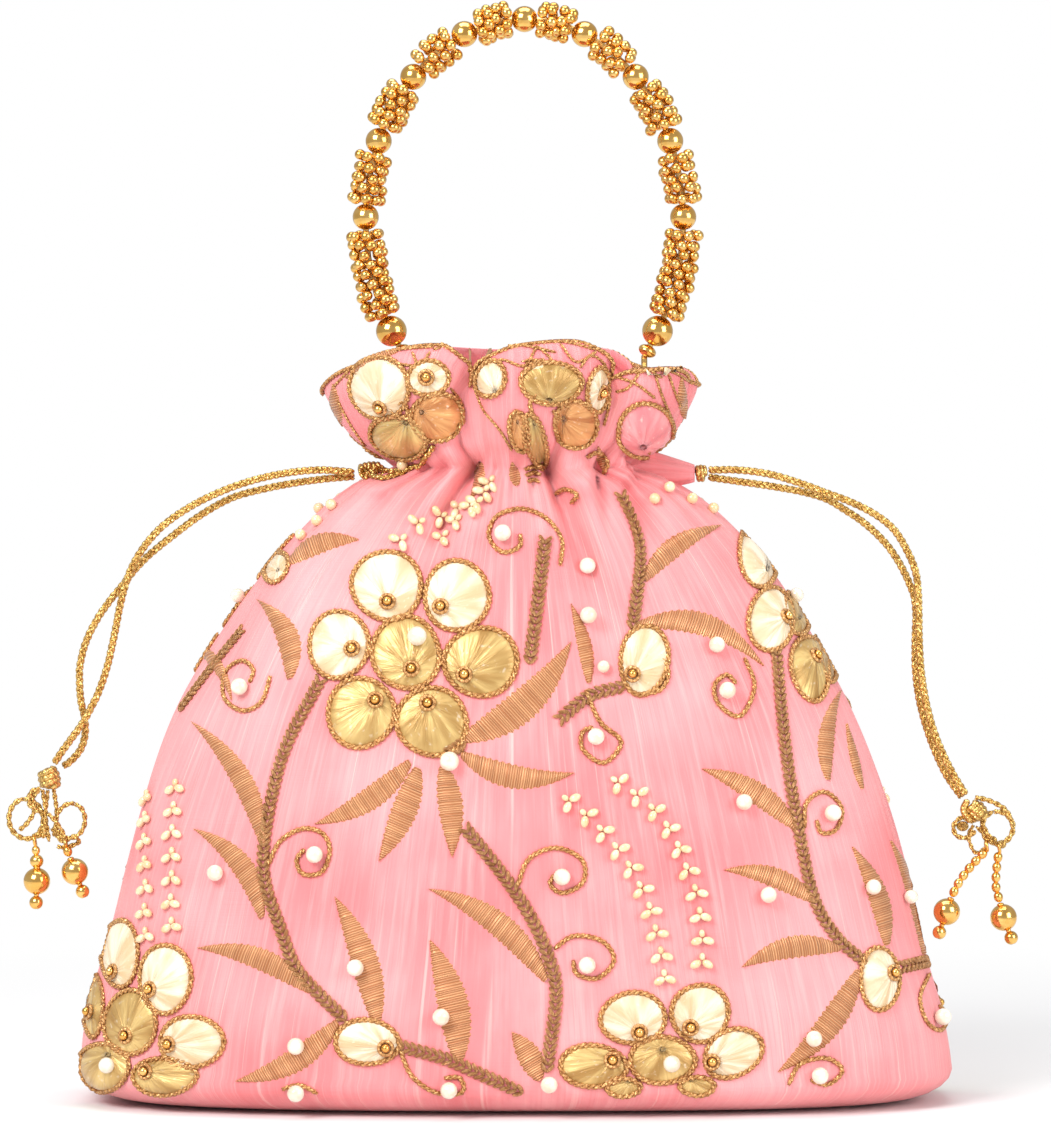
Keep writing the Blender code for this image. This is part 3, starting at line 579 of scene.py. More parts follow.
def line_fold(x, z, fold):
    """Depth of one fold at points of the front, faded along it and across it."""
    start, end, top_width, end_width, depth = fold
    sx, sz = bag_x(start[0]), bag_z(start[1])
    dx, dz = bag_x(end[0]) - sx, bag_z(end[1]) - sz
    length = math.hypot(dx, dz)
    along = ((x - sx) * dx + (z - sz) * dz) / length ** 2
    across = np.abs((x - sx) * dz - (z - sz) * dx) / length
    inside = np.clip(along, 0.0, 1.0)
    width = (top_width + (end_width - top_width) * inside) * PIXEL / MM
    fade = (1.0 - inside) ** 0.9 * np.exp(-(np.minimum(along, 0.0) / 0.10) ** 2)
    return depth * fade * np.exp(-(across / width) ** 1.5)


def pleats(angle, metric, z, rise):
    """How far the gathers pull the cloth in, in millimetres."""
    pull = np.zeros_like(z)
    for degrees, depth, width, down, up in CREASES + back_creases():
        away = (angle - math.radians(degrees) + math.pi) % math.tau - math.pi
        arc = np.abs(away) * metric
        below = np.maximum(NECK_TOP - z, 0.0)
        above = np.maximum(z - NECK_TOP, 0.0)
        fade = np.exp(-(below / down) ** 1.2) * np.exp(-(above / up) ** 1.6)
        spread = width * (1.0 + 1.6 * below / down + 0.6 * above / up)
        pull += depth * fade * np.exp(-(arc / spread) ** 1.2)
    for degrees, depth, width in LOBE_GAPS:
        away = (angle - math.radians(degrees) + math.pi) % math.tau - math.pi
        arc = np.abs(away) * metric
        pull += depth * np.clip(rise, 0.0, 1.0) ** 0.7 * np.exp(-(arc / (width * (1 + 0.9 * rise))) ** 1.25)
    return pull


def cloth_rows():
    """Each row of the cloth: how far along its part it lies, its share of the width, its part."""
    rows = [(0.0, share, "base") for share in BASE_SHARES]
    rows += [(k / EDGE_ROWS, 1.0, "edge") for k in range(EDGE_ROWS + 1)]
    for low, high, count in WALL_BANDS:
        rows += [(height, 1.0, "wall") for height in np.linspace(low, high, count)[1:]]
    return rows + [(k / FRILL_ROWS, 1.0, "frill") for k in range(1, FRILL_ROWS + 1)]


def cloth_points():
    """The outer face of the cloth, row by row from the middle of the base to the rim."""
    outline = np.array(BODY_OUTLINE)
    angle = np.arange(CLOTH_COLUMNS) * math.tau / CLOTH_COLUMNS - math.pi
    rim_angles = np.radians([a for a, _ in RIM])
    rim = through(angle, rim_angles, [h for _, h in RIM])
    lines = []
    rises = []
    for value, share, kind in cloth_rows():
        if kind in ("base", "edge"):
            turn = math.pi / 2 * value if kind == "edge" else 0.0
            inset = BASE_EDGE_REACH * (1.0 - math.sin(turn))
            half_x = (outline[0, 1] - inset) * share
            half_y = (outline[0, 2] - inset) * share
            z = np.full_like(angle, outline[0, 0] * (1.0 - math.cos(turn)))
            rise = np.zeros_like(angle)
            power = BASE_POWER
        elif kind == "wall":
            half_x = float(through(value, outline[:, 0], outline[:, 1]))
            half_y = float(through(value, outline[:, 0], outline[:, 2]))
            z = np.full_like(angle, value)
            rise = np.zeros_like(angle)
            power = BASE_POWER + (NECK_POWER - BASE_POWER) * value / NECK_TOP
        else:
            z = NECK_TOP + value * (rim - NECK_TOP)
            rise = (z - NECK_TOP) / (FRILL_TOP - NECK_TOP)
            flare = through(rise, [s for s, _ in FRILL_FLARE], [f for _, f in FRILL_FLARE])
            half_x = outline[-1, 1] + (FRILL_HALF_WIDTH - outline[-1, 1]) * flare
            half_y = outline[-1, 2] + (FRILL_HALF_DEPTH - outline[-1, 2]) * flare
            power = NECK_POWER
        c, s = np.cos(angle), np.sin(angle)
        x = half_x * np.sign(c) * np.abs(c) ** (2.0 / power)
        y = half_y * np.sign(s) * np.abs(s) ** (2.0 / power)
        lines.append(np.stack([x, y, z], axis=1))
        rises.append(rise)
    points = np.array(lines)
    rise = np.array(rises)
    return points, np.broadcast_to(angle, rise.shape), rise


def shape_cloth():
    """Pull the gathers, folds and puffs into the plain outline; millimetres to metres."""
    points, angle, rise = cloth_points()
    level = points.copy()
    level[..., 2] = 0.0
    tangent = np.roll(level, -1, axis=1) - np.roll(level, 1, axis=1)
    metric = np.linalg.norm(tangent, axis=2) * CLOTH_COLUMNS / (2 * math.tau)
    tangent = unit(tangent)
    outward = np.stack([tangent[..., 1], -tangent[..., 0], np.zeros_like(rise)], axis=2)
    x, y, z = points[..., 0], points[..., 1], points[..., 2]
    pull = pleats(angle, metric, z, rise)
    front = ease(np.clip(0.5 - y / 16.0, 0.0, 1.0))
    back = ease(np.clip(0.5 + y / 16.0, 0.0, 1.0))
    for fold in VALLEYS:
        pull += front * line_fold(x, z, fold)
    for fold in RIDGES:
        pull -= front * line_fold(x, z, fold)
    for fold in back_folds():
        pull += back * line_fold(-x, z, fold)
    for (column, row), wide, high, lift in PUFFS:
        across = (x - bag_x(column)) / (wide * PIXEL / MM)
        upward = (z - bag_z(row)) / (high * PIXEL / MM)
        pull -= front * lift * np.exp(-(across ** 2 + upward ** 2) ** 1.2)
    draw = random.Random(3)
    swell = np.zeros_like(z)
    for _ in range(9):
        turns = draw.choice((2, 3, 4, 5, 7, 9))
        tall = draw.uniform(0.5, 2.6)
        size = draw.uniform(0.15, 0.34)
        start = draw.uniform(0, math.tau)
        swell += size * np.sin(turns * angle + tall * z / 26.0 + start)
    calm = ease(np.clip((z - 3.0) / 14.0, 0.0, 1.0))
    pull += swell * calm
    points = points - outward * pull[..., None]
    points[..., 2] += 0.5 * swell * ease(np.clip(rise * 3.0, 0.0, 1.0))
    return points * MM


class Cloth:
    """The finished outer cloth, and where the photograph's pixels fall on it."""

    def __init__(self, points):
        self.points = points
        rows, columns = points.shape[:2]
        self.faces = grid_faces(rows, columns, True)
        flat = points.reshape(-1, 3)
        across = np.roll(points, -1, axis=1) - np.roll(points, 1, axis=1)
        along = np.gradient(points, axis=0)
        self.normals = unit(np.cross(across, along)).reshape(-1, 3)
        self.tree = BVHTree.FromPolygons([Vector(p) for p in flat], self.faces.tolist())

    def hit(self, column, row, side):
        """Place and outward normal on the cloth behind one pixel."""
        turn = -1.0 if side == "back" else 1.0
        direction = FORWARD * CAMERA_DISTANCE + RIGHT * ((column - PHOTO_WIDTH / 2) * PIXEL)
        direction = direction + UP * ((PHOTO_HEIGHT / 2 - row) * PIXEL)
        start = Vector((EYE.x * turn, EYE.y * turn, EYE.z))
        way = Vector((direction.x * turn, direction.y * turn, direction.z)).normalized()
        place, _, face, _ = self.tree.ray_cast(start, way)
        if place is None:
            middle = start + way * CAMERA_DISTANCE
            place, _, face, _ = self.tree.find_nearest(middle)
        corners = self.faces[face]
        weights = np.array([1.0 / (1e-5 + np.linalg.norm(self.points.reshape(-1, 3)[k] - place))
                            for k in corners])
        normal = unit((self.normals[corners] * weights[:, None]).sum(axis=0))
        return np.array(place), normal

    def many(self, pixels, side):
        found = [self.hit(column, row, side) for column, row in pixels]
        return np.array([f[0] for f in found]), np.array([f[1] for f in found])

    def path(self, pixels, side, step, smooth=True):
        """A line on the cloth through pixels, with points at an even real spacing."""
        fine = catmull(pixels, step=1.6) if smooth else resample(np.asarray(pixels, float), step=1.6)
        places, normals = self.many(fine, side)
        both = np.hstack([places, normals])
        jumps = np.linalg.norm(np.diff(places, axis=0), axis=1)
        lengths = np.concatenate([[0.0], np.cumsum(np.minimum(jumps, 3.0 * MM))])
        count = max(4, int(round(lengths[-1] / step)) + 1)
        targets = np.linspace(0.0, lengths[-1], count)
        even = np.stack([np.interp(targets, lengths, both[:, k]) for k in range(6)], axis=1)
        return even[:, :3], unit(even[:, 3:])


TARGET = Vector(((PHOTO_WIDTH / 2 - AXIS_COLUMN) * PIXEL, 0.0, (FLOOR_ROW - PHOTO_HEIGHT / 2) * PIXEL))
FORWARD = Vector((0.0, math.cos(CAMERA_RISE), -math.sin(CAMERA_RISE)))
UP = Vector((0.0, math.sin(CAMERA_RISE), math.cos(CAMERA_RISE)))
RIGHT = Vector((1.0, 0.0, 0.0))
EYE = TARGET - FORWARD * CAMERA_DISTANCE


def add_camera():
    data = bpy.data.cameras.new("camera")
    data.sensor_fit = "VERTICAL"
    data.sensor_height = SENSOR
    data.lens = SENSOR * CAMERA_DISTANCE / (PHOTO_HEIGHT * PIXEL)
    camera = bpy.data.objects.new("camera", data)
    bpy.context.collection.objects.link(camera)
    camera.location = EYE
    camera.rotation_euler = (math.pi / 2 - CAMERA_RISE, 0.0, 0.0)
    bpy.context.scene.camera = camera


def build_bag(cloth, materials):
    """The outer cloth with its thickness; its UVs run round the bag and up it, in metres."""
    points = cloth.points
    columns = points.shape[1]
    climb = run_of(points[:, columns // 4])
    mesh = bpy.data.meshes.new("bag_silk")
    flat = points.reshape(-1, 3)
    faces = cloth.faces.tolist()
    middle = len(flat)
    verts = np.vstack([flat, [0.0, 0.0, 0.0]])
    for k in range(columns):
        faces.append([middle, (k + 1) % columns, k])
    mesh.from_pydata(verts.tolist(), [], faces)
    layer = mesh.uv_layers.new(name="UVMap")
    index = np.empty(len(mesh.loops), dtype=np.int64)
    mesh.loops.foreach_get("vertex_index", index)
    column = np.where(index < middle, index % columns, 0)
    row = np.where(index < middle, index // columns, 0)
    starts = np.empty(len(mesh.polygons), dtype=np.int64)
    totals = np.empty(len(mesh.polygons), dtype=np.int64)
    mesh.polygons.foreach_get("loop_start", starts)
    mesh.polygons.foreach_get("loop_total", totals)
    face_of = np.repeat(np.arange(len(starts)), totals)
    last = np.maximum.reduceat(column, starts) == columns - 1
    wraps = last[face_of] & (column == 0)
    u = np.where(wraps, columns, column) * CLOTH_GIRTH / columns
    layer.data.foreach_set("uv", np.stack([u, climb[row]], axis=1).ravel())
    mesh.materials.append(materials["silk"])
    mesh.shade_smooth()
    item = bpy.data.objects.new("bag_silk", mesh)
    bpy.context.collection.objects.link(item)
    solid = item.modifiers.new("thickness", "SOLIDIFY")
    solid.thickness = SILK_THICKNESS
    solid.offset = -1.0
    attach(item, "bag")
    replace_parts(item, "bag_body")


def build_lining(cloth, materials):
    """The gathered lining: down inside the frill, then pulled together across the drawn neck."""
    rows, columns = cloth.points.shape[:2]
    rim = cloth.points[-1]
    outward = cloth.normals.reshape(rows, columns, 3)[-1] * np.array([1.0, 1.0, 0.0])
    outward = unit(outward)
    inner = rim - outward * LINING_GAP
    lines = [rim + np.array([0.0, 0.0, 0.15 * MM]) - outward * 0.4 * MM, inner]
    wall = cloth.points[-FRILL_ROWS:]
    facing = unit(cloth.normals.reshape(rows, columns, 3)[-FRILL_ROWS:] * np.array([1.0, 1.0, 0.0]))
    for share in (0.25, 0.5, 0.75, 0.9):
        height = inner[:, 2] + (CUP_FLOOR - inner[:, 2]) * share
        line = []
        for c in range(columns):
            x = np.interp(height[c], wall[:, c, 2], wall[:, c, 0] - facing[:, c, 0] * LINING_GAP)
            y = np.interp(height[c], wall[:, c, 2], wall[:, c, 1] - facing[:, c, 1] * LINING_GAP)
            line.append((x, y, height[c]))
        lines.append(np.array(line))
    angle = np.arange(columns) * math.tau / columns
    edge = lines[-1]
    for share in (0.93, 0.84, 0.72, 0.58, 0.43, 0.28, 0.14, 0.03):
        line = edge * np.array([share, share, 0.0])
        ripple = np.sin(angle * 26 + 1.4 * np.sin(3 * angle)) * 0.75 * MM * min(1.0, share * 1.5)
        line[:, 2] = CUP_FLOOR - 0.2 * MM + ripple - (1.0 - share) * 2.2 * MM
        lines.append(line)
    points = np.array(lines)
    climb = run_of(points[:, 0])
    around = np.arange(columns) * CLOTH_GIRTH / columns
    uvs = np.stack(np.broadcast_arrays(around[None, :], climb[:, None]), axis=-1).reshape(-1, 2)
    faces = grid_faces(len(points), columns, True)[:, ::-1]
    return make_object("bag_lining", points.reshape(-1, 3), faces.tolist(), materials["lining"], uvs,
                       "bag")


def build_hem(cloth, materials):
    """A gold cord couched along the frill's edge, front, sides and back."""
    heap = Heap("frill_edging", materials["outline"], "bag", "gold_thread")
    rim = resample(np.vstack([cloth.points[-1], cloth.points[-1][:1]]), step=0.5 * MM)[:-1]
    outward = unit(rim * np.array([1.0, 2.0, 0.0]))
    twisted_cord(heap, rim - np.array([0.0, 0.0, 0.5 * MM]), outward, 0.62 * MM, 2.8 * MM,
                 lift=0.7, closed=True)
    return heap.build()


def build_spout(materials):
    """The end of the cord casing: a gathered cloth tube that the right cords come out of."""
    stations = [(30.0, 163.4, 6.2), (34.0, 163.2, 5.4), (38.0, 163.0, 4.4), (42.0, 162.7, 3.4),
                (45.0, 162.5, 2.6), (46.4, 162.4, 2.2), (46.2, 162.4, 1.3)]
    turn = np.arange(40) * math.tau / 40
    verts = []
    uvs = []
    for k, (x, z, radius) in enumerate(stations):
        fold = 1.0 + 0.07 * np.sin(turn * 7 + 0.3 * k) * min(1.0, (len(stations) - k) / 3.0)
        ring = np.stack([np.full(40, x), np.cos(turn) * radius * fold * 0.95,
                         z + np.sin(turn) * radius * fold], axis=1)
        verts.append(ring * MM)
        uvs.append(np.stack([turn * 0.005, np.full(40, x * MM)], axis=1))
    faces = grid_faces(len(stations), 40, True)[:, ::-1]
    return make_object("casing_end", np.vstack(verts), faces.tolist(), materials["silk"],
                       np.vstack(uvs), "bag")


# Embroidery

# Petals: stitch, centre pixel, half sizes in pixels, lean in degrees, pixel the threads fan from,
# and whether a ringed bead is sewn there
PETALS = [
    ("cream", (387, 586), (34, 35), 0, (388, 603), True),
    ("cream", (457, 596), (33, 34), 0, (441, 608), True),
    ("cream", (339, 645), (29, 34), 0, (353, 650), True),
    ("gold_satin", (406, 653), (34, 36), 0, (412, 670), True),
    ("gold_satin", (481, 662), (36, 35), 0, (464, 676), True),
    ("gold_satin", (361, 713), (34, 34), 0, (376, 701), True),
    ("gold_satin", (432, 722), (35, 34), 0, (428, 704), True),
    ("cream", (633, 1018), (33, 25), 0, (639, 1032), True),
    ("cream", (700, 1013), (28, 29), 0, (690, 1027), True),
    ("cream", (733, 1053), (30, 23), -24, (711, 1062), True),
    ("gold_satin", (662, 1060), (32, 24), 0, (662, 1048), False),
    ("gold_satin", (593, 1066), (33, 21), 0, (612, 1060), True),
    ("gold_satin", (623, 1087), (17, 9), 0, (630, 1081), False),
    ("gold_satin", (697, 1086), (17, 9), 0, (690, 1080), False),
    ("cream", (121, 954), (18, 34), 0, (117, 973), True),
    ("cream", (166, 979), (25, 35), 0, (153, 990), True),
    ("cream", (192, 1042), (31, 26), 0, (171, 1044), True),
    ("gold_satin", (131, 1023), (26, 32), 0, (129, 1036), True),
    ("gold_satin", (94, 1005), (10, 33), 0, (94, 1013), True),
    ("gold_satin", (104, 1067), (25, 24), 0, (112, 1054), False),
    ("gold_satin", (165, 1076), (32, 18), 0, (148, 1072), True),
    ("cream", (757, 556), (18, 33), -8, (765, 572), False),
    ("cream", (770, 620), (22, 32), 0, (783, 619), True),
    ("gold_satin", (796, 612), (12, 24), -10, (797, 620), False),
    ("gold_satin", (809, 669), (18, 33), -8, (812, 658), True),
    ("gold_satin", (827, 657), (8, 26), -10, (826, 660), False),
    ("cream", (644, 660), (24, 34), 8, (632, 675), True),
    ("cream", (367, 1042), (32, 22), 0, (386, 1048), True),
    ("cream", (879, 979), (19, 32), 0, (890, 974), True),
    ("cream", (277, 568), (11, 16), 24, (280, 572), False),
    ("cream", (380, 388), (30, 30), 0, (383, 405), True),
    ("gold_satin", (399, 437), (28, 21), 16, (408, 420), False),
    ("copper_satin", (437, 417), (25, 24), -12, (421, 410), False),
    ("cream", (428, 378), (20, 17), -10, (427, 378), True),
    ("cream", (491, 379), (14, 18), 10, (496, 392), False),
    ("gold_satin", (551, 383), (30, 21), 0, (548, 400), False),
    ("copper_satin", (575, 424), (21, 24), 0, (561, 416), False),
    ("gold_satin", (535, 440), (10, 27), -14, (533, 420), False),
    ("copper_satin", (519, 431), (9, 20), -8, (517, 420), False),
    ("cream", (598, 390), (11, 22), 6, (597, 390), True),
    ("pink_satin", (645, 430), (27, 27), 0, (641, 445), False),
]
# Leaves: the pixel where a leaf grows, its tip, its width in pixels, and how far its middle
# bows to the left of the way it grows, as a share of its length
LEAVES = [
    ((463, 740), (571, 642), 35, -0.10), ((461, 754), (574, 773), 26, -0.12),
    ((410, 762), (315, 824), 25, 0.08), ((418, 768), (379, 861), 28, 0.04),
    ((443, 766), (452, 857), 27, 0.04), ((264, 847), (192, 722), 23, -0.10),
    ((262, 918), (194, 829), 24, -0.14), ((310, 991), (198, 948), 24, -0.10),
    ((377, 1023), (335, 897), 30, -0.06), ((338, 1022), (236, 1081), 26, 0.10),
    ((546, 980), (429, 889), 27, -0.10), ((459, 1061), (430, 940), 34, -0.06),
    ((540, 1080), (512, 1032), 26, -0.05), ((644, 580), (720, 526), 22, 0.10),
    ((636, 625), (763, 666), 25, 0.16), ((796, 828), (702, 769), 24, -0.08),
    ((814, 901), (724, 870), 22, -0.10), ((840, 948), (742, 967), 24, -0.10),
    ((859, 971), (778, 1072), 27, 0.08), ((887, 945), (852, 847), 22, -0.08),
    ((924, 954), (890, 841), 15, -0.06), ((828, 780), (840, 691), 18, 0.08),
    ((862, 789), (846, 724), 10, 0.0), ((290, 562), (359, 540), 22, 0.12),
    ((290, 679), (258, 600), 25, -0.16), ((589, 683), (571, 604), 16, -0.05),
    ((340, 428), (334, 384), 14, 0.05), ((356, 372), (398, 352), 13, 0.10),
    ((684, 418), (681, 378), 11, 0.0), ((480, 462), (470, 500), 12, 0.1),
    ((517, 486), (512, 462), 12, 0.0), ((604, 470), (598, 446), 10, 0.0),
    ((190, 640), (232, 700), 13, 0.1),
]
# Chain-stitched stems through pixels
STEMS = [
    [(320, 681), (289, 740), (274, 788), (264, 847), (266, 885), (279, 924), (295, 966),
     (318, 993), (343, 1017)],
    [(466, 829), (503, 875), (529, 914), (547, 953), (556, 993), (547, 1068)],
    [(400, 1046), (446, 1059), (487, 1077), (519, 1091)],
    [(621, 495), (635, 528), (640, 560), (633, 625)],
    [(560, 719), (589, 696), (621, 687)],
    [(545, 540), (538, 600), (530, 660)],
    [(776, 652), (785, 746), (798, 828), (814, 899), (837, 938), (863, 961)],
    [(902, 967), (928, 961)],
    [(242, 631), (212, 668), (182, 708)],
    [(450, 752), (462, 744)],
]
# Couched scrolls through pixels, and the pearl in each one's eye
SCROLLS = [
    ([(268, 866), (280, 842), (302, 829), (322, 833), (330, 850), (322, 872), (303, 874),
      (297, 860), (305, 849)], (316, 855)),
    ([(517, 887), (529, 859), (556, 848), (582, 860), (583, 882), (563, 893), (550, 884),
      (556, 873)], (562, 877)),
    ([(554, 949), (574, 936), (602, 941), (614, 960), (598, 978), (577, 974), (573, 960)],
     (587, 965)),
    ([(560, 566), (561, 540), (545, 518), (520, 509), (497, 517), (489, 536), (502, 552),
      (519, 547), (520, 534)], (505, 534)),
    ([(271, 676), (262, 702), (243, 711), (225, 698), (226, 673), (242, 661), (254, 670),
      (250, 683)], (244, 689)),
    ([(744, 658), (754, 687), (740, 716), (719, 705), (714, 686), (726, 675), (736, 684)],
     (725, 692)),
    ([(585, 690), (600, 722), (621, 742), (604, 763), (583, 750), (582, 733), (593, 727)],
     (596, 738)),
    ([(804, 828), (806, 803), (824, 792), (841, 808), (836, 829), (821, 833), (816, 820)],
     (829, 814)),
    ([(788, 1085), (800, 1064), (826, 1058), (842, 1070), (828, 1084), (810, 1080)],
     (818, 1075)),
    ([(928, 974), (919, 998), (926, 1022), (940, 1030), (946, 1016), (938, 1006)],
     (936, 1018)),
    ([(400, 1050), (412, 1076), (436, 1092), (462, 1092), (460, 1078), (444, 1078)],
     (449, 1088)),
    ([(318, 1093), (300, 1085), (282, 1089)], (297, 1090)),
    ([(655, 648), (668, 672), (660, 690), (642, 694)], None),
    ([(390, 405), (398, 418), (408, 414), (404, 402), (396, 404)], None),
    ([(410, 420), (424, 426), (428, 412), (418, 406), (410, 412)], None),
    ([(548, 402), (540, 392), (530, 402), (534, 420)], None),
    ([(552, 410), (564, 422), (572, 410), (562, 402)], None),
    ([(634, 436), (640, 430), (650, 436), (648, 452)], None),
    ([(524, 470), (532, 466), (542, 470)], None), ([(525, 476), (533, 473), (541, 476)], None),
    ([(527, 482), (533, 480), (539, 483)], None),
    ([(556, 494), (566, 489), (578, 494), (572, 503)], None),
    ([(586, 458), (598, 452), (608, 462), (604, 474)], None),
]
# Fine couched lattice on the frill, through pixels
LATTICE = [
    [(333, 388), (356, 366), (396, 351), (434, 347)], [(352, 372), (372, 378), (396, 362)],
    [(412, 352), (420, 366), (430, 352)], [(338, 400), (352, 426), (366, 446)],
    [(468, 372), (474, 356), (490, 350), (520, 345), (560, 342), (596, 350)],
    [(476, 372), (500, 360), (524, 366), (536, 348)], [(536, 346), (548, 356), (556, 368)],
    [(560, 344), (576, 362), (596, 352)], [(580, 368), (590, 356), (604, 364), (608, 380)],
    [(612, 366), (640, 364), (672, 372), (692, 384)], [(617, 377), (636, 384), (655, 398)],
    [(655, 375), (662, 396), (672, 420)], [(668, 374), (676, 396), (684, 414)],
    [(640, 372), (628, 388), (616, 392)], [(606, 384), (610, 400), (604, 426)],
    [(474, 386), (484, 410), (500, 430), (512, 450)], [(450, 388), (462, 404), (464, 424)],
    [(346, 436), (362, 452), (384, 460)],
]
# Chains of paired seed beads through pixels
BEAD_CHAINS = [
    [(571, 803), (596, 824), (615, 846), (629, 865), (641, 888), (651, 911), (657, 935),
     (662, 957), (665, 980)],
    [(620, 784), (645, 802), (664, 822), (678, 846), (687, 870), (696, 893), (700, 916),
     (702, 940), (702, 964)],
    [(148, 800), (146, 828), (146, 856), (147, 884), (146, 912), (147, 938)],
    [(176, 790), (174, 818), (173, 846), (173, 874), (172, 902), (173, 928)],
    [(488, 485), (476, 504), (451, 513), (427, 519), (412, 528), (399, 543)],
    [(482, 494), (466, 514), (455, 524), (442, 540)],
]
LOOSE_BEADS = [(668, 488), (690, 501), (711, 511), (333, 507), (319, 523), (303, 537),
               (655, 500), (404, 462)]
# Pearls sewn straight on the cloth or on a leaf: pixel and radius in millimetres
PEARLS = [
    ((418, 638), 2.5), ((450, 762), 2.5), ((671, 1064), 2.2), ((112, 1066), 2.1),
    ((218, 874), 2.1), ((356, 968), 2.2), ((297, 1046), 2.2), ((441, 1017), 2.2),
    ((795, 596), 1.9), ((714, 647), 2.1), ((586, 617), 2.2), ((592, 566), 2.1),
    ((742, 803), 2.1), ((766, 896), 2.1), ((812, 1038), 2.1), ((869, 888), 2.0),
    ((905, 898), 1.8), ((549, 1084), 2.2), ((604, 668), 1.6)]
PETAL_RAYS = 44
PETAL_RINGS = (0.10, 0.28, 0.48, 0.66, 0.82, 0.93, 1.0)
PETAL_DOME = 1.3 * MM
OUTLINE_RADIUS = 0.74 * MM
SCROLL_RADIUS = 0.66 * MM
LATTICE_RADIUS = 0.42 * MM
CORD_STEP = 0.55 * MM
STITCH_STEP = 1.75 * MM
STITCH_LENGTH = 1.5 * MM
STITCH_RADIUS = 0.62 * MM


def petal_outline(centre, half, lean, draw):
    angle = np.arange(PETAL_RAYS) * math.tau / PETAL_RAYS
    wobble = 1.0 + 0.025 * np.sin(2 * angle + draw.uniform(0, math.tau))
    wobble += 0.02 * np.sin(3 * angle + draw.uniform(0, math.tau))
    flat = np.stack([half[0] * np.cos(angle), half[1] * np.sin(angle)], axis=1) * wobble[:, None]
    turn = math.radians(lean)
    spin = np.array([[math.cos(turn), math.sin(turn)], [-math.sin(turn), math.cos(turn)]])
    return flat @ spin + np.asarray(centre, float)


def petal_form(cloth, side, centre, half, outline, focus, draw):
    """A padded satin petal whose threads fan out from one point, tucked under its edge cord."""
    focus = np.asarray(focus, float)
    rays = len(outline)
    comb = np.array([draw.uniform(-0.10, 0.10) for _ in range(rays)]) * MM
    pixels = [focus]
    lifts = [PETAL_DOME * 0.75]
    uvs = [(0.5, 0.0)]
    start = draw.uniform(0, 40)
    reach = math.sqrt(half[0] * half[1])
    for share in PETAL_RINGS:
        for k in range(rays + 1):
            pixel = focus + (outline[k % rays] - focus) * share
            away = min(1.0, np.linalg.norm((pixel - centre) / np.asarray(half)))
            lift = PETAL_DOME * min(1.0, reach / 26.0) * (1.0 - away ** 2.6) ** 0.8
            lift += comb[k % rays] * share if share < 0.99 else -0.25 * MM
            pixels.append(pixel)
            lifts.append(lift + 0.12 * MM)
            uvs.append((start + k / rays, share))
    places, normals = cloth.many(pixels, side)
    verts = places + normals * np.asarray(lifts)[:, None]
    faces = (grid_faces(len(PETAL_RINGS), rays + 1) + 1).tolist()
    faces = [face[::-1] for face in faces]
    for k in range(rays):
        faces.append([0, k + 2, k + 1])
    return verts, faces, np.array(uvs)


def leaf_form(cloth, side, base, tip, width, bow):
    """A leaf of slanting stitches with a serrated edge, slightly raised along its middle."""
    base = np.asarray(base, float)
    tip = np.asarray(tip, float)
    way = tip - base
    length = np.linalg.norm(way)
    across = np.array([way[1], -way[0]]) / length
    steps = max(10, int(length / 3.2))
    columns = np.linspace(-1.0, 1.0, 7)
    pixels = []
    uvs = []
    lifts = []
    for k in range(steps + 1):
        share = k / steps
        middle = base + way * share + across * (bow * length * 4 * share * (1 - share))
        half = width / 2 * math.sin(math.pi * min(1.0, 0.04 + 0.96 * share) ** 0.85) ** 0.8
        half *= 1.12 if k % 2 else 0.94
        for c in columns:
            pixels.append(middle + across * (c * max(half, 0.4)))
            lifts.append((0.55 * (1.0 - c * c) - (0.2 if abs(c) > 0.99 else -0.1)) * MM)
            uvs.append((share * length * PIXEL, c * half * PIXEL))
    places, normals = cloth.many(pixels, side)
    verts = places + normals * np.asarray(lifts)[:, None]
    faces = grid_faces(steps + 1, len(columns)).tolist()
    return verts, [face[::-1] for face in faces], np.array(uvs)


def add_stem(heap, cloth, side, pixels):
    """Two rows of slanting stitches that meet along the middle, like an ear of wheat."""
    places, normals = cloth.path(pixels, side, STITCH_STEP)
    tangents, up, across = frames_along(places, normals)
    for k in range(len(places)):
        for way in (-1.0, 1.0):
            axis = unit(tangents[k] - across[k] * way * 0.75)
            centre = places[k] + across[k] * way * 0.85 * MM + up[k] * 0.35 * MM
            heap.add(ball(centre, 1.0, 6, 4, (STITCH_RADIUS, STITCH_RADIUS, STITCH_LENGTH), axis))


def add_bead_pair(heap, place, normal, tangent, draw):
    """Two seed beads side by side with a thread knot under them."""
    across = np.cross(tangent, normal)
    for way in (-1.0, 1.0):
        centre = place + across * way * (1.55 + draw.uniform(-0.2, 0.2)) * MM + normal * 0.9 * MM
        axis = unit(across * way + tangent * draw.uniform(0.2, 0.7))
        heap.add(ball(centre, 1.25 * MM, 9, 6, (0.85, 0.85, 1.25), axis))
    centre = place - tangent * 1.9 * MM + normal * 0.6 * MM
    heap.add(ball(centre, 0.8 * MM, 7, 5, (1, 1, 1.3), tangent))


def add_ringed_bead(rings, beads, place, normal):
    rings.add(ring_form(place + normal * 1.0 * MM, normal, 1.75 * MM, 0.5 * MM, 16, 6))
    beads.add(ball(place + normal * 1.5 * MM, 1.15 * MM, 12, 8, axis=normal))


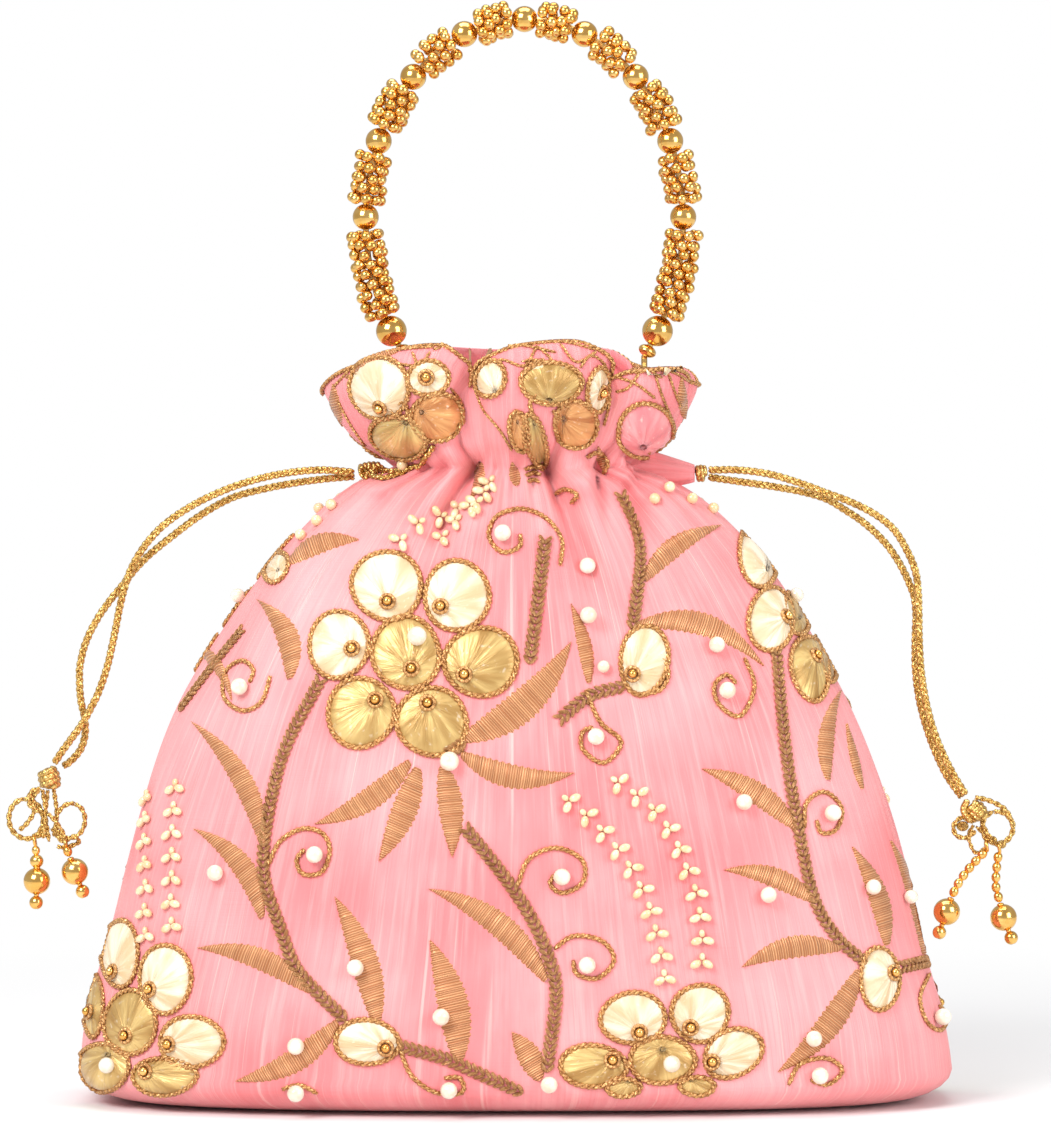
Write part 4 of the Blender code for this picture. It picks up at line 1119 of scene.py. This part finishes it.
class Embroidery:
    """Every heap of stitches, cords, beads and pearls on one face of the bag."""

    SLOTS = {"cream": "embroidered_silk", "gold_satin": "embroidered_silk",
             "copper_satin": "embroidered_silk", "pink_satin": "embroidered_silk",
             "leaf": "embroidered_silk", "outline": "gold_thread", "stem": "gold_thread",
             "pearl": "gold_bead", "cream_bead": "gold_bead", "small_bead": "gold_bead"}

    def __init__(self, cloth, side, materials):
        self.cloth = cloth
        self.side = side
        self.draw = random.Random(21)
        self.heaps = {kind: Heap(f"embroidery_{kind}_{side}", materials[kind], "bag", slot)
                      for kind, slot in self.SLOTS.items()}

    def petals(self, petals):
        for stitch, centre, half, lean, focus, beaded in petals:
            outline = petal_outline(centre, half, lean, self.draw)
            form = petal_form(self.cloth, self.side, centre, half, outline, focus, self.draw)
            self.heaps[stitch].add(form)
            closed = np.vstack([outline, outline[:1]])
            places, normals = self.cloth.path(closed, self.side, CORD_STEP, False)
            twisted_cord(self.heaps["outline"], places[:-1], normals[:-1], OUTLINE_RADIUS,
                         3.0 * MM, closed=True)
            if beaded:
                place, normal = self.cloth.hit(*focus, self.side)
                lifted = place + normal * PETAL_DOME * 0.55
                add_ringed_bead(self.heaps["outline"], self.heaps["small_bead"], lifted, normal)

    def leaves(self, leaves):
        for base, tip, width, bow in leaves:
            self.heaps["leaf"].add(leaf_form(self.cloth, self.side, base, tip, width, bow))

    def scrolls(self, scrolls, radius=SCROLL_RADIUS):
        for pixels, eye in scrolls:
            places, normals = self.cloth.path(pixels, self.side, CORD_STEP)
            twisted_cord(self.heaps["outline"], places, normals, radius, 2.8 * MM)
            if eye:
                self.pearls([(eye, 2.2)])

    def pearls(self, pearls):
        for pixel, radius in pearls:
            place, normal = self.cloth.hit(*pixel, self.side)
            centre = place + normal * (radius * 0.75 + 0.4) * MM
            self.heaps["pearl"].add(ball(centre, radius * MM, 16, 10, axis=normal))

    def chains(self, chains):
        for pixels in chains:
            places, normals = self.cloth.path(pixels, self.side, 6.0 * MM)
            tangents, up, _ = frames_along(places, normals)
            for place, normal, tangent in zip(places, up, tangents):
                add_bead_pair(self.heaps["cream_bead"], place, normal, tangent, self.draw)

    def build(self):
        for heap in self.heaps.values():
            if heap.size:
                heap.build()


def embroider(cloth, side, materials):
    work = Embroidery(cloth, side, materials)
    work.petals(PETALS)
    work.leaves(LEAVES)
    for pixels in STEMS:
        add_stem(work.heaps["stem"], cloth, side, pixels)
    work.scrolls(SCROLLS)
    work.scrolls([(pixels, None) for pixels in LATTICE], LATTICE_RADIUS)
    work.pearls(PEARLS)
    work.chains(BEAD_CHAINS)
    for pixel in LOOSE_BEADS:
        place, normal = cloth.hit(*pixel, side)
        work.heaps["cream_bead"].add(ball(place + normal * MM, 1.5 * MM, 10, 7, axis=normal))
    work.build()


# Handle

HANDLE_CENTRE = np.array([0.0022, 0.0, 0.22785])
HANDLE_HALF_WIDTH = 0.0412
HANDLE_HALF_HEIGHT = 0.0523
BIG_BEAD_STEP = 22.2
END_ANGLE = 123.0
BIG_BEAD_RADIUS = 3.4 * MM
END_BEAD_RADIUS = 4.0 * MM
SEED_RADIUS = 1.5 * MM
SEED_CIRCLE = 3.6 * MM
SEEDS_ROUND = 7
SEED_JITTER = 0.38 * MM
SPACER_RADIUS = 2.4 * MM
BORE_RADIUS = 0.9 * MM


def handle_point(degrees):
    a = np.radians(degrees)
    level = np.zeros_like(a)
    return HANDLE_CENTRE + np.stack([HANDLE_HALF_WIDTH * np.sin(a), level,
                                     HANDLE_HALF_HEIGHT * np.cos(a)], axis=-1)


def turned_bead(centre, axis, radius, stretch=1.0, segments=32):
    """A bead with a small rounded bore at both ends of its axis."""
    lip = math.asin(BORE_RADIUS * 0.8 / radius)
    lat = np.linspace(lip, math.pi - lip, 19)
    rings = [(0.35 * BORE_RADIUS, math.cos(lip) * radius - 0.5 * MM)]
    rings += [(math.sin(a) * radius, math.cos(a) * radius) for a in lat]
    rings += [(0.35 * BORE_RADIUS, -math.cos(lip) * radius + 0.5 * MM)]
    rows = basis(axis)
    turn = np.arange(segments) * math.tau / segments
    verts = []
    uvs = []
    for wide, high in rings:
        ring = (np.cos(turn)[:, None] * rows[0] + np.sin(turn)[:, None] * rows[1]) * wide
        verts.append(centre + ring + rows[2] * high * stretch)
        uvs.append(np.stack([turn / math.tau, np.full(segments, high)], axis=1))
    faces = grid_faces(len(rings), segments, True)[:, ::-1]
    caps = [[0, k, k + 1] for k in range(1, segments - 1)]
    last = (len(rings) - 1) * segments
    caps += [[last, last + k + 1, last + k] for k in range(1, segments - 1)]
    return np.vstack(verts), faces.tolist() + caps, np.vstack(uvs)


def build_cluster(number, start, end, start_gap, end_gap, material):
    """Staggered rings of seed beads wound round the wire between two large beads."""
    fine = handle_point(np.linspace(start, end, 160))
    lengths = run_of(fine)
    first = start_gap + 0.9 * SEED_RADIUS
    last = lengths[-1] - end_gap - 0.9 * SEED_RADIUS
    rows = max(3, int(round((last - first) / (1.72 * SEED_RADIUS))) + 1)
    draw = random.Random(40 + number)
    heap = Heap(f"handle_seeds_{number}", material, "handle", "gold_bead")
    for k in range(rows):
        reach = first + (last - first) * k / (rows - 1)
        centre = along_line(fine, lengths, reach)
        ahead = along_line(fine, lengths, reach + MM)
        axes = basis(ahead - centre if reach + MM < lengths[-1] else centre - fine[-5])
        for j in range(SEEDS_ROUND):
            turn = (j + 0.5 * (k % 2) + 0.13 * k + draw.uniform(-0.08, 0.08)) * math.tau / SEEDS_ROUND
            out = axes[0] * math.cos(turn) + axes[1] * math.sin(turn)
            place = centre + out * (SEED_CIRCLE + draw.uniform(-1, 1) * SEED_JITTER)
            place = place + axes[2] * draw.uniform(-1, 1) * SEED_JITTER
            pole = unit(axes[2] + np.array([draw.uniform(-0.6, 0.6) for _ in range(3)]))
            heap.add(ball(place, SEED_RADIUS * draw.uniform(0.93, 1.05), 14, 9, (1, 1, 0.94), pole))
    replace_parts(heap.build(), f"handle_cluster_{number}")


TACK_INSET = 0.8 * MM


def build_tack(name, material):
    """The sewn bar of twisted thread that one eye of the handle turns on."""
    low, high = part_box(f"handle_tack_{name}")
    middle = (low.x + high.x) / 2
    half = (high.x - low.x) / 2 - TACK_INSET
    top = high.z - TACK_INSET
    path = catmull([(middle - half, 0, low.z), (middle - half, 0, top - TACK_INSET),
                    (middle - half + TACK_INSET, 0, top), (middle + half - TACK_INSET, 0, top),
                    (middle + half, 0, top - TACK_INSET), (middle + half, 0, low.z)],
                   step=0.35 * MM)
    bar = Heap(f"handle_thread_{name}", material, "bag", "gold_thread")
    strands(bar, path, 0.45 * MM, 0.42 * MM, 3.0 * MM)
    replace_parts(bar.build(), f"handle_tack_{name}")


def build_handle(materials):
    """The round beads, the end beads with their spacers, the seed sleeves and the tacks."""
    angles = [k * BIG_BEAD_STEP for k in range(-4, 5)]
    stops = [-END_ANGLE] + angles + [END_ANGLE]
    for number, angle in enumerate(angles, 1):
        tangent = handle_point(angle + 0.5) - handle_point(angle - 0.5)
        bead = Heap(f"handle_round_{number}", materials["bead"], "handle", "gold_bead")
        bead.add(turned_bead(handle_point(angle), tangent, BIG_BEAD_RADIUS))
        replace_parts(bead.build(), f"handle_bead_{number}")
    for side, name in ((-1, "left"), (1, "right")):
        spacer_centre = node_middle(f"handle_spacer_{name}")
        end = handle_point(side * END_ANGLE)
        bead = Heap(f"handle_end_{name}", materials["bead"], "handle", "gold_bead")
        bead.add(turned_bead(end, end - spacer_centre, END_BEAD_RADIUS))
        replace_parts(bead.build(), f"handle_end_bead_{name}")
        spacer = Heap(f"handle_washer_{name}", materials["bead"], "handle", "gold_bead")
        spacer.add(turned_bead(spacer_centre, end - spacer_centre, SPACER_RADIUS, 0.66, 26))
        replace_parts(spacer.build(), f"handle_spacer_{name}")
    gaps = [END_BEAD_RADIUS] + [BIG_BEAD_RADIUS] * len(angles) + [END_BEAD_RADIUS]
    for number in range(1, len(stops)):
        build_cluster(number, stops[number - 1], stops[number], gaps[number - 1], gaps[number],
                      materials["small_bead"])
    for name in ("left", "right"):
        build_tack(name, materials["thread"])
    paint("handle_core", materials["wire"])


def paint(node, material):
    """Give a CAD node that stays a finish of its own."""
    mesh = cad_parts[node].data
    mesh.materials.clear()
    mesh.materials.append(material)


# Cords and their ends

PLAIT_PITCH = 5.0 * MM
PLAIT_WIDTH = 0.58 * MM
PLAIT_DEPTH = 0.32 * MM
PLAIT_STRAND = 0.47 * MM
CORD_ROUTES = {
    "left_front": (-1.2, [(-42.0, 162.7), (-51.2, 163.3), (-61.5, 162.2), (-71.9, 159.5),
                          (-82.2, 155.1), (-90.5, 149.8), (-95.5, 144.8), (-98.8, 139.9),
                          (-100.9, 135.3), (-102.8, 128.4), (-104.3, 120.8), (-106.2, 112.4),
                          (-108.5, 105.6), (-110.8, 100.9), (-112.7, 97.5), (-114.6, 94.8),
                          (-117.7, 90.6), (-120.1, 87.0)]),
    "left_back": (1.2, [(-42.0, 161.6), (-49.1, 161.0), (-57.4, 159.9), (-65.7, 158.3),
                        (-73.9, 156.0), (-82.2, 151.4), (-90.5, 145.2), (-95.5, 141.1),
                        (-99.2, 137.3), (-102.2, 133.5), (-105.4, 129.6), (-108.9, 124.6),
                        (-111.9, 118.6), (-113.5, 112.4), (-113.6, 107.4), (-113.3, 103.2),
                        (-112.4, 99.0), (-112.2, 94.8), (-113.2, 90.9), (-115.6, 87.8),
                        (-118.0, 86.0)]),
    "right_front": (-1.2, [(50.0, 163.3), (57.7, 163.3), (66.0, 162.2), (74.3, 159.7),
                           (80.5, 157.4), (86.7, 155.1), (92.9, 152.0), (97.9, 148.1),
                           (101.2, 143.1), (103.7, 137.3), (104.5, 131.6), (104.7, 125.1),
                           (104.8, 119.1), (105.3, 111.3), (106.5, 103.5), (108.4, 96.2),
                           (110.8, 90.0), (113.8, 84.0), (117.0, 78.8)]),
    "right_back": (1.2, [(50.0, 161.4), (57.7, 160.3), (66.0, 159.1), (74.3, 157.6),
                         (80.5, 155.8), (84.6, 153.5), (90.8, 149.3), (96.3, 144.0),
                         (100.0, 138.6), (102.4, 133.6), (103.7, 129.9), (104.1, 125.1),
                         (103.9, 119.1), (104.0, 111.3), (105.0, 103.5), (106.9, 96.2),
                         (109.3, 89.7), (112.3, 83.5), (116.2, 78.0)]),
}


def strands(heap, path, circle, radius, pitch, plies=3, sides=6):
    """Plies twisted round a free line."""
    lengths = run_of(path)
    _, up, side = frames_along(path)
    for k in range(plies):
        turn = (lengths / pitch + k / plies) * math.tau
        offset = up * (np.sin(turn) * circle)[:, None] + side * (np.cos(turn) * circle)[:, None]
        heap.add(sweep(path + offset, radius, sides))


def plait(heap, path, sides=7):
    """Three strands laid over and under each other, flat to the front."""
    lengths = run_of(path)
    hint = np.tile([0.0, -1.0, 0.0], (len(path), 1))
    _, up, side = frames_along(path, hint)
    for k in range(3):
        turn = (lengths / PLAIT_PITCH + k / 3.0) * math.tau
        offset = side * (np.sin(turn) * PLAIT_WIDTH)[:, None]
        offset = offset + up * (np.sin(2 * turn) * PLAIT_DEPTH)[:, None]
        heap.add(sweep(path + offset, PLAIT_STRAND, sides))


def in_plane(points, depth=0.0):
    """Millimetres across and up, at one depth, as metres."""
    flat = np.asarray(points, float)
    return np.stack([flat[:, 0], np.full(len(flat), depth), flat[:, 1]], axis=1) * MM


COIL_STEPS = 22
# How far the winding's first points are drawn in, as a share of its radius
COIL_TUCK = np.linspace(0.5, 0.95, 4)


def coil(heap, centre, axis, radius, length, turns, wire, squash=1.0):
    """A cord wound round and round, with its ends tucked in."""
    rows = basis(axis)
    count = int(turns * COIL_STEPS)
    turn = np.linspace(0.0, turns * math.tau, count)
    along = np.linspace(-0.5, 0.5, count) * (length - 2 * wire)
    bulge = radius - wire - wire * (2 * along / length) ** 2
    bulge[:len(COIL_TUCK)] *= COIL_TUCK
    bulge[-len(COIL_TUCK):] *= COIL_TUCK[::-1]
    points = (centre + rows[0] * (np.cos(turn) * bulge)[:, None]
              + rows[1] * (np.sin(turn) * bulge * squash)[:, None] + rows[2] * along[:, None])
    heap.add(sweep(points, wire, 8, points - (centre + rows[2] * along[:, None])))


def oval_ring(heap, centre, wide, high, wire, lean=0.0, depth=0.0, gap=0.0):
    """A stiff cord bent into an oval; gap leaves it open by that share of a turn."""
    turn = np.linspace(gap * math.pi, math.tau - gap * math.pi, 40)
    a = math.radians(lean)
    x = np.sin(turn) * wide
    z = np.cos(turn) * high
    points = in_plane(np.stack([centre[0] + x * math.cos(a) + z * math.sin(a),
                                centre[1] - x * math.sin(a) + z * math.cos(a)], axis=1), depth)
    points[:, 1] += np.linspace(-0.6, 0.6, len(points)) * MM
    strands(heap, resample(points, step=0.5 * MM), wire * 0.48, wire * 0.62, 4.4 * MM, 2, 7)


def free_strand(heap, points, radius, depth=0.0):
    path = catmull(in_plane(points, depth), step=0.5 * MM)
    strands(heap, path, radius * 0.48, radius * 0.62, 4.0 * MM, 2, 6)


def build_left_bow(materials):
    """Barrel knot, two stiff rings and the twisted ends under the left cords."""
    heap = Heap("bow_cord_left", materials["cord"], "bag", "gold_cord")
    knot = np.array([-121.5, 0.0, 83.0]) * MM
    coil(heap, knot, np.array([-0.22, 0.0, 1.0]), 3.3 * MM, 6.4 * MM, 3.4, 0.95 * MM, 0.9)
    heap.add(ball(knot, 2.5 * MM, 20, 12, (1, 0.9, 1.15)))
    oval_ring(heap, (-127.6, 72.4), 4.5, 5.2, 0.72 * MM, -6.0, 0.4)
    oval_ring(heap, (-116.0, 71.9), 3.8, 4.6, 0.66 * MM, 14.0, -0.3)
    for k, (start, end) in enumerate([((-123.2, 80.2), (-123.0, 67.4)), ((-121.9, 80.0), (-121.6, 66.5)),
                                      ((-120.4, 80.2), (-120.3, 67.8))]):
        middle = ((start[0] + end[0]) / 2 + 0.7 * (-1) ** k, (start[1] + end[1]) / 2)
        free_strand(heap, [start, middle, end], 0.62 * MM, 0.7 * (k - 1))
    free_strand(heap, [(-124.0, 80.0), (-125.7, 78.0), (-125.3, 74.6), (-127.2, 71.4), (-129.2, 69.6)],
                0.66 * MM, -1.5)
    free_strand(heap, [(-123.6, 80.6), (-126.2, 79.4), (-126.4, 76.2), (-123.8, 74.2)], 0.70 * MM, -1.9)
    free_strand(heap, [(-121.8, 74.0), (-119.6, 71.6), (-117.6, 68.4), (-117.3, 65.6)], 0.60 * MM, -1.2)
    free_strand(heap, [(-121.0, 70.0), (-118.2, 66.6), (-115.2, 67.9), (-114.0, 66.2), (-117.6, 64.9),
                       (-119.6, 65.2)], 0.66 * MM, 1.0)
    free_strand(heap, [(-122.6, 70.2), (-124.0, 67.8), (-125.4, 68.2)], 0.60 * MM, 0.2)
    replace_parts(heap.build(), "bow_left")


def build_right_bow(materials):
    """The same fastening on the right: a leaning knot, a ring, a tight loop and an open one."""
    heap = Heap("bow_cord_right", materials["cord"], "bag", "gold_cord")
    knot = np.array([119.9, 0.0, 74.3]) * MM
    coil(heap, knot, np.array([-0.75, 0.0, 1.0]), 3.1 * MM, 6.2 * MM, 3.3, 0.95 * MM, 0.9)
    heap.add(ball(knot, 2.4 * MM, 20, 12, (1, 0.9, 1.1)))
    heap.add(sweep(catmull(in_plane([(117.6, 77.6), (116.4, 74.8), (118.4, 71.6)], -1.4), step=0.5 * MM),
                   0.9 * MM, 8))
    oval_ring(heap, (125.4, 70.2), 4.0, 4.2, 0.74 * MM, -14.0, 0.2)
    free_strand(heap, [(119.4, 78.2), (123.4, 77.2), (127.4, 74.8), (129.4, 70.8)], 0.70 * MM, -1.4)
    free_strand(heap, [(119.0, 71.6), (116.0, 72.8), (113.9, 70.8), (114.6, 68.2), (117.4, 67.6),
                       (119.6, 69.4)], 0.66 * MM, -0.8)
    heap.add(ball(np.array([116.2, -0.8, 70.6]) * MM, 1.35 * MM, 16, 10, (1.2, 0.8, 1.0)))
    free_strand(heap, [(119.2, 70.8), (117.9, 67.8), (119.6, 63.6), (122.4, 65.2), (121.6, 68.6),
                       (119.8, 70.4)], 0.56 * MM, 0.8)
    free_strand(heap, [(121.4, 71.4), (122.6, 68.8), (124.2, 66.8), (125.4, 65.2)], 0.62 * MM, -0.7)
    for x, z in ((124.1, 66.9), (126.5, 65.9)):
        heap.add(ball(np.array([x, -0.9, z]) * MM, 1.15 * MM, 14, 9))
    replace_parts(heap.build(), "bow_right")


# Each dangle in millimetres: where it hangs on its ring, its string's route, and the beads on the
# string, each with its place as a share of the string's length and its radius
DANGLES = {
    "left_outer": ((-125.54, 68.25), [(-125.2, 65.3), (-124.9, 63.2), (-124.8, 60.3)],
                   [(0.22, 1.1), (0.78, 1.8)]),
    "left_inner": ((-117.36, 67.74), [(-117.2, 65.4), (-116.8, 64.1), (-116.2, 62.6)],
                   [(0.5, 1.22)]),
    "right_outer": ((125.84, 66.22), [(125.7, 63.7), (125.2, 60.0), (125.0, 54.8), (126.0, 50.8)],
                    [((k + 0.5) / 5, 1.22) for k in range(5)]),
    "right_inner": ((122.72, 66.77), [(122.3, 64.1), (118.6, 60.2), (115.7, 56.4), (113.5, 52.3)],
                    [((k + 0.5) / 6, 1.22) for k in range(6)]),
}
DANGLE_WIRE = 0.35 * MM
EYE_WIRE = 0.42 * MM
ROUND_STRING_BEAD = 1.5 * MM


def node_middle(node):
    low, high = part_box(node)
    return np.array((low + high) / 2)


def build_dangle_string(name, pivot, path, beads, material):
    """The eye on the ring, the string and the small beads on it."""
    heap = Heap(f"dangle_{name}_links", material, f"dangle_{name}", "gold_bead")
    heap.add(sweep(path, DANGLE_WIRE, 8))
    top = np.array([pivot[0], 0.0, pivot[1]]) * MM
    reach = np.linalg.norm(top - path[0]) / 2
    heap.add(ring_form((top + path[0]) / 2, (1, 0, 0.2), reach, EYE_WIRE, 22, 8))
    lengths = run_of(path)
    for share, radius in beads:
        reach = lengths[-1] * share
        axis = along_line(path, lengths, reach + 0.4 * MM) - along_line(path, lengths, reach - 0.4 * MM)
        stretch = 1.0 if radius * MM > ROUND_STRING_BEAD else 1.18
        heap.add(ball(along_line(path, lengths, reach), radius * MM, 16, 10, (1, 1, stretch), axis))
    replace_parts(heap.build(), f"dangle_{name}_string")


def build_dangle_end(name, part, label, other, segments, material):
    """The large bead or the tip bead, with the collar on the side of what it hangs from."""
    low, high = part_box(f"dangle_{name}_{part}")
    centre = node_middle(f"dangle_{name}_{part}")
    radius = (high.x - low.x) / 2
    piece = Heap(f"dangle_{name}_{label}", material, f"dangle_{name}", "gold_bead")
    piece.add(turned_bead(centre, other - centre, radius, 1.0, segments))
    up = unit(other - centre)
    if part == "tip":
        piece.add(ball(centre + up * radius * 1.12, 0.7 * MM, 12, 7))
    else:
        piece.add(ball(centre + up * radius, 0.95 * MM, 14, 8, (1, 1, 0.5), other - centre))
    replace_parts(piece.build(), f"dangle_{name}_{part}")


def build_dangles(materials):
    """Every dangle: an eye on the ring, a beaded string, a large bead and a tip bead."""
    for name, (pivot, route, beads) in DANGLES.items():
        path = catmull(in_plane(route), step=0.3 * MM)
        build_dangle_string(name, pivot, path, beads, materials["bead"])
        build_dangle_end(name, "bead", "ball", path[-1], 32, materials["bead"])
        build_dangle_end(name, "tip", "drop", node_middle(f"dangle_{name}_bead"), 22, materials["bead"])


def build_exits(cloth, materials):
    """The wound knot on the left and the whipped ring on the right, where the cords leave."""
    left = Heap("exit_coil_left", materials["cord"], "bag", "gold_cord")
    centre = np.array([-37.9, 0.0, 163.2]) * MM
    coil(left, centre, np.array([1.0, 0.0, 0.12]), 2.4 * MM, 6.6 * MM, 4.6, 0.70 * MM)
    left.add(ball(centre, 1.5 * MM, 16, 8, (1, 1, 2.1), (1, 0, 0.1)))
    for k, (column, row) in enumerate(((366, 472), (372, 477), (379, 471))):
        ring = in_plane([(bag_x(column), bag_z(row))], -3.0 - 1.2 * k)[0]
        left.add(ring_form(ring, (0.35, -1.0, 0.3 - 0.3 * k), 1.5 * MM, 0.5 * MM, 18, 7))
    for route in ([(372, 470), (392, 473), (412, 470), (424, 460), (434, 444)],
                  [(366, 476), (384, 480), (404, 474)]):
        places, normals = cloth.path(route, "front", 0.5 * MM)
        twisted_cord(left, places, normals, 0.8 * MM, 3.6 * MM, lift=0.8)
    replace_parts(left.build(), "exit_knot_left")
    right = Heap("exit_coil_right", materials["cord"], "bag", "gold_cord")
    centre = np.array([48.05, 0.0, 162.4]) * MM
    coil(right, centre, np.array([1.0, 0.0, 0.0]), 2.35 * MM, 3.6 * MM, 2.6, 0.68 * MM)
    right.add(ball(centre, 1.5 * MM, 16, 8, (1, 1, 1.0), (1, 0, 0)))
    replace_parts(right.build(), "exit_wrap_right")


def build_cords(materials):
    """The four plaited cords, each a free cord from its hole to its knot."""
    for name, (depth, route) in CORD_ROUTES.items():
        path = catmull(in_plane(route, depth), step=0.42 * MM)
        heap = Heap(f"drawstring_{name}", materials["cord"], "bag", "gold_cord")
        plait(heap, path)
        piece = heap.build()
        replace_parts(piece, f"cord_{name}")


# Floor and light: where the floor's shadow fades to white, and each lamp's place, size and watts
FLOOR_REACH = 1.2
FLOOR_DROP = 0.0004
SHADOW_NEAR = 0.16
SHADOW_FAR = 0.45
ROOM_COLOUR = (0.55, 0.55, 0.56, 1.0)
LAMP_AIM = (0.0, 0.0, 0.10)
LAMPS = [("key_left", (-0.55, -0.75, 0.75), (0.55, 0.55), 11.0),
         ("fill_right", (0.75, -0.60, 0.40), (0.5, 0.6), 5.0),
         ("top", (0.0, 0.05, 0.95), (0.7, 0.5), 4.0)]


def build_floor():
    """A pale floor that keeps the bag's shadow and fades to white away from it."""
    g = Graph("floor_white")
    tree = g.tree
    place = g.node("ShaderNodeTexCoord").outputs["Object"]
    apart = g.node("ShaderNodeVectorMath", {"operation": "LENGTH"})
    tree.links.new(place, apart.inputs[0])
    fade = g.step(apart.outputs["Value"], SHADOW_NEAR, SHADOW_FAR)
    ray = g.node("ShaderNodeLightPath")
    seen = g.math("MAXIMUM", ray.outputs["Is Camera Ray"], g.math(
        "MAXIMUM", ray.outputs["Is Glossy Ray"], ray.outputs["Is Transmission Ray"]))
    g.shader.inputs["Base Color"].default_value = (0.80, 0.80, 0.80, 1.0)
    g.shader.inputs["Roughness"].default_value = 0.7
    glow = g.node("ShaderNodeEmission")
    glow.inputs["Color"].default_value = (1.0, 1.0, 1.0, 1.0)
    blend = g.node("ShaderNodeMixShader")
    tree.links.new(g.math("MULTIPLY", seen, fade), blend.inputs[0])
    tree.links.new(g.shader.outputs[0], blend.inputs[1])
    tree.links.new(glow.outputs[0], blend.inputs[2])
    tree.links.new(blend.outputs[0], tree.nodes["Material Output"].inputs["Surface"])
    mesh = bpy.data.meshes.new("floor")
    r = FLOOR_REACH
    mesh.from_pydata([(-r, -r, 0), (r, -r, 0), (r, r, 0), (-r, r, 0)], [], [(0, 1, 2, 3)])
    mesh.materials.append(g.material)
    floor = bpy.data.objects.new("floor", mesh)
    bpy.context.collection.objects.link(floor)
    floor.location.z = -FLOOR_DROP


def add_lamp(name, place, aim, size, power):
    data = bpy.data.lights.new(name, "AREA")
    data.shape = "RECTANGLE"
    data.size, data.size_y = size
    data.energy = power
    lamp = bpy.data.objects.new(name, data)
    bpy.context.collection.objects.link(lamp)
    lamp.location = place
    lamp.rotation_euler = (Vector(aim) - Vector(place)).to_track_quat("-Z", "Y").to_euler()


def light_scene():
    """Soft boxes at the upper left, at the right and on top, in an even room that the camera
    sees as white."""
    world = bpy.data.worlds.new("studio")
    bpy.context.scene.world = world
    world.use_nodes = True
    tree = world.node_tree
    background = tree.nodes["Background"]
    ray = tree.nodes.new("ShaderNodeLightPath")
    mix = tree.nodes.new("ShaderNodeMix")
    mix.data_type = "RGBA"
    mix.inputs[6].default_value = ROOM_COLOUR
    mix.inputs[7].default_value = (1.0, 1.0, 1.0, 1.0)
    tree.links.new(ray.outputs["Is Camera Ray"], mix.inputs["Factor"])
    tree.links.new(mix.outputs[2], background.inputs["Color"])
    for name, place, size, power in LAMPS:
        add_lamp(name, place, LAMP_AIM, size, power)
    bpy.context.scene.view_settings.view_transform = "Standard"


materials = make_materials()
add_camera()
cloth = Cloth(shape_cloth())
build_bag(cloth, materials)
for side in ("front", "back"):
    embroider(cloth, side, materials)
build_lining(cloth, materials)
build_hem(cloth, materials)
build_spout(materials)
build_handle(materials)
build_left_bow(materials)
build_right_bow(materials)
build_dangles(materials)
build_exits(cloth, materials)
build_cords(materials)
build_floor()
light_scene()
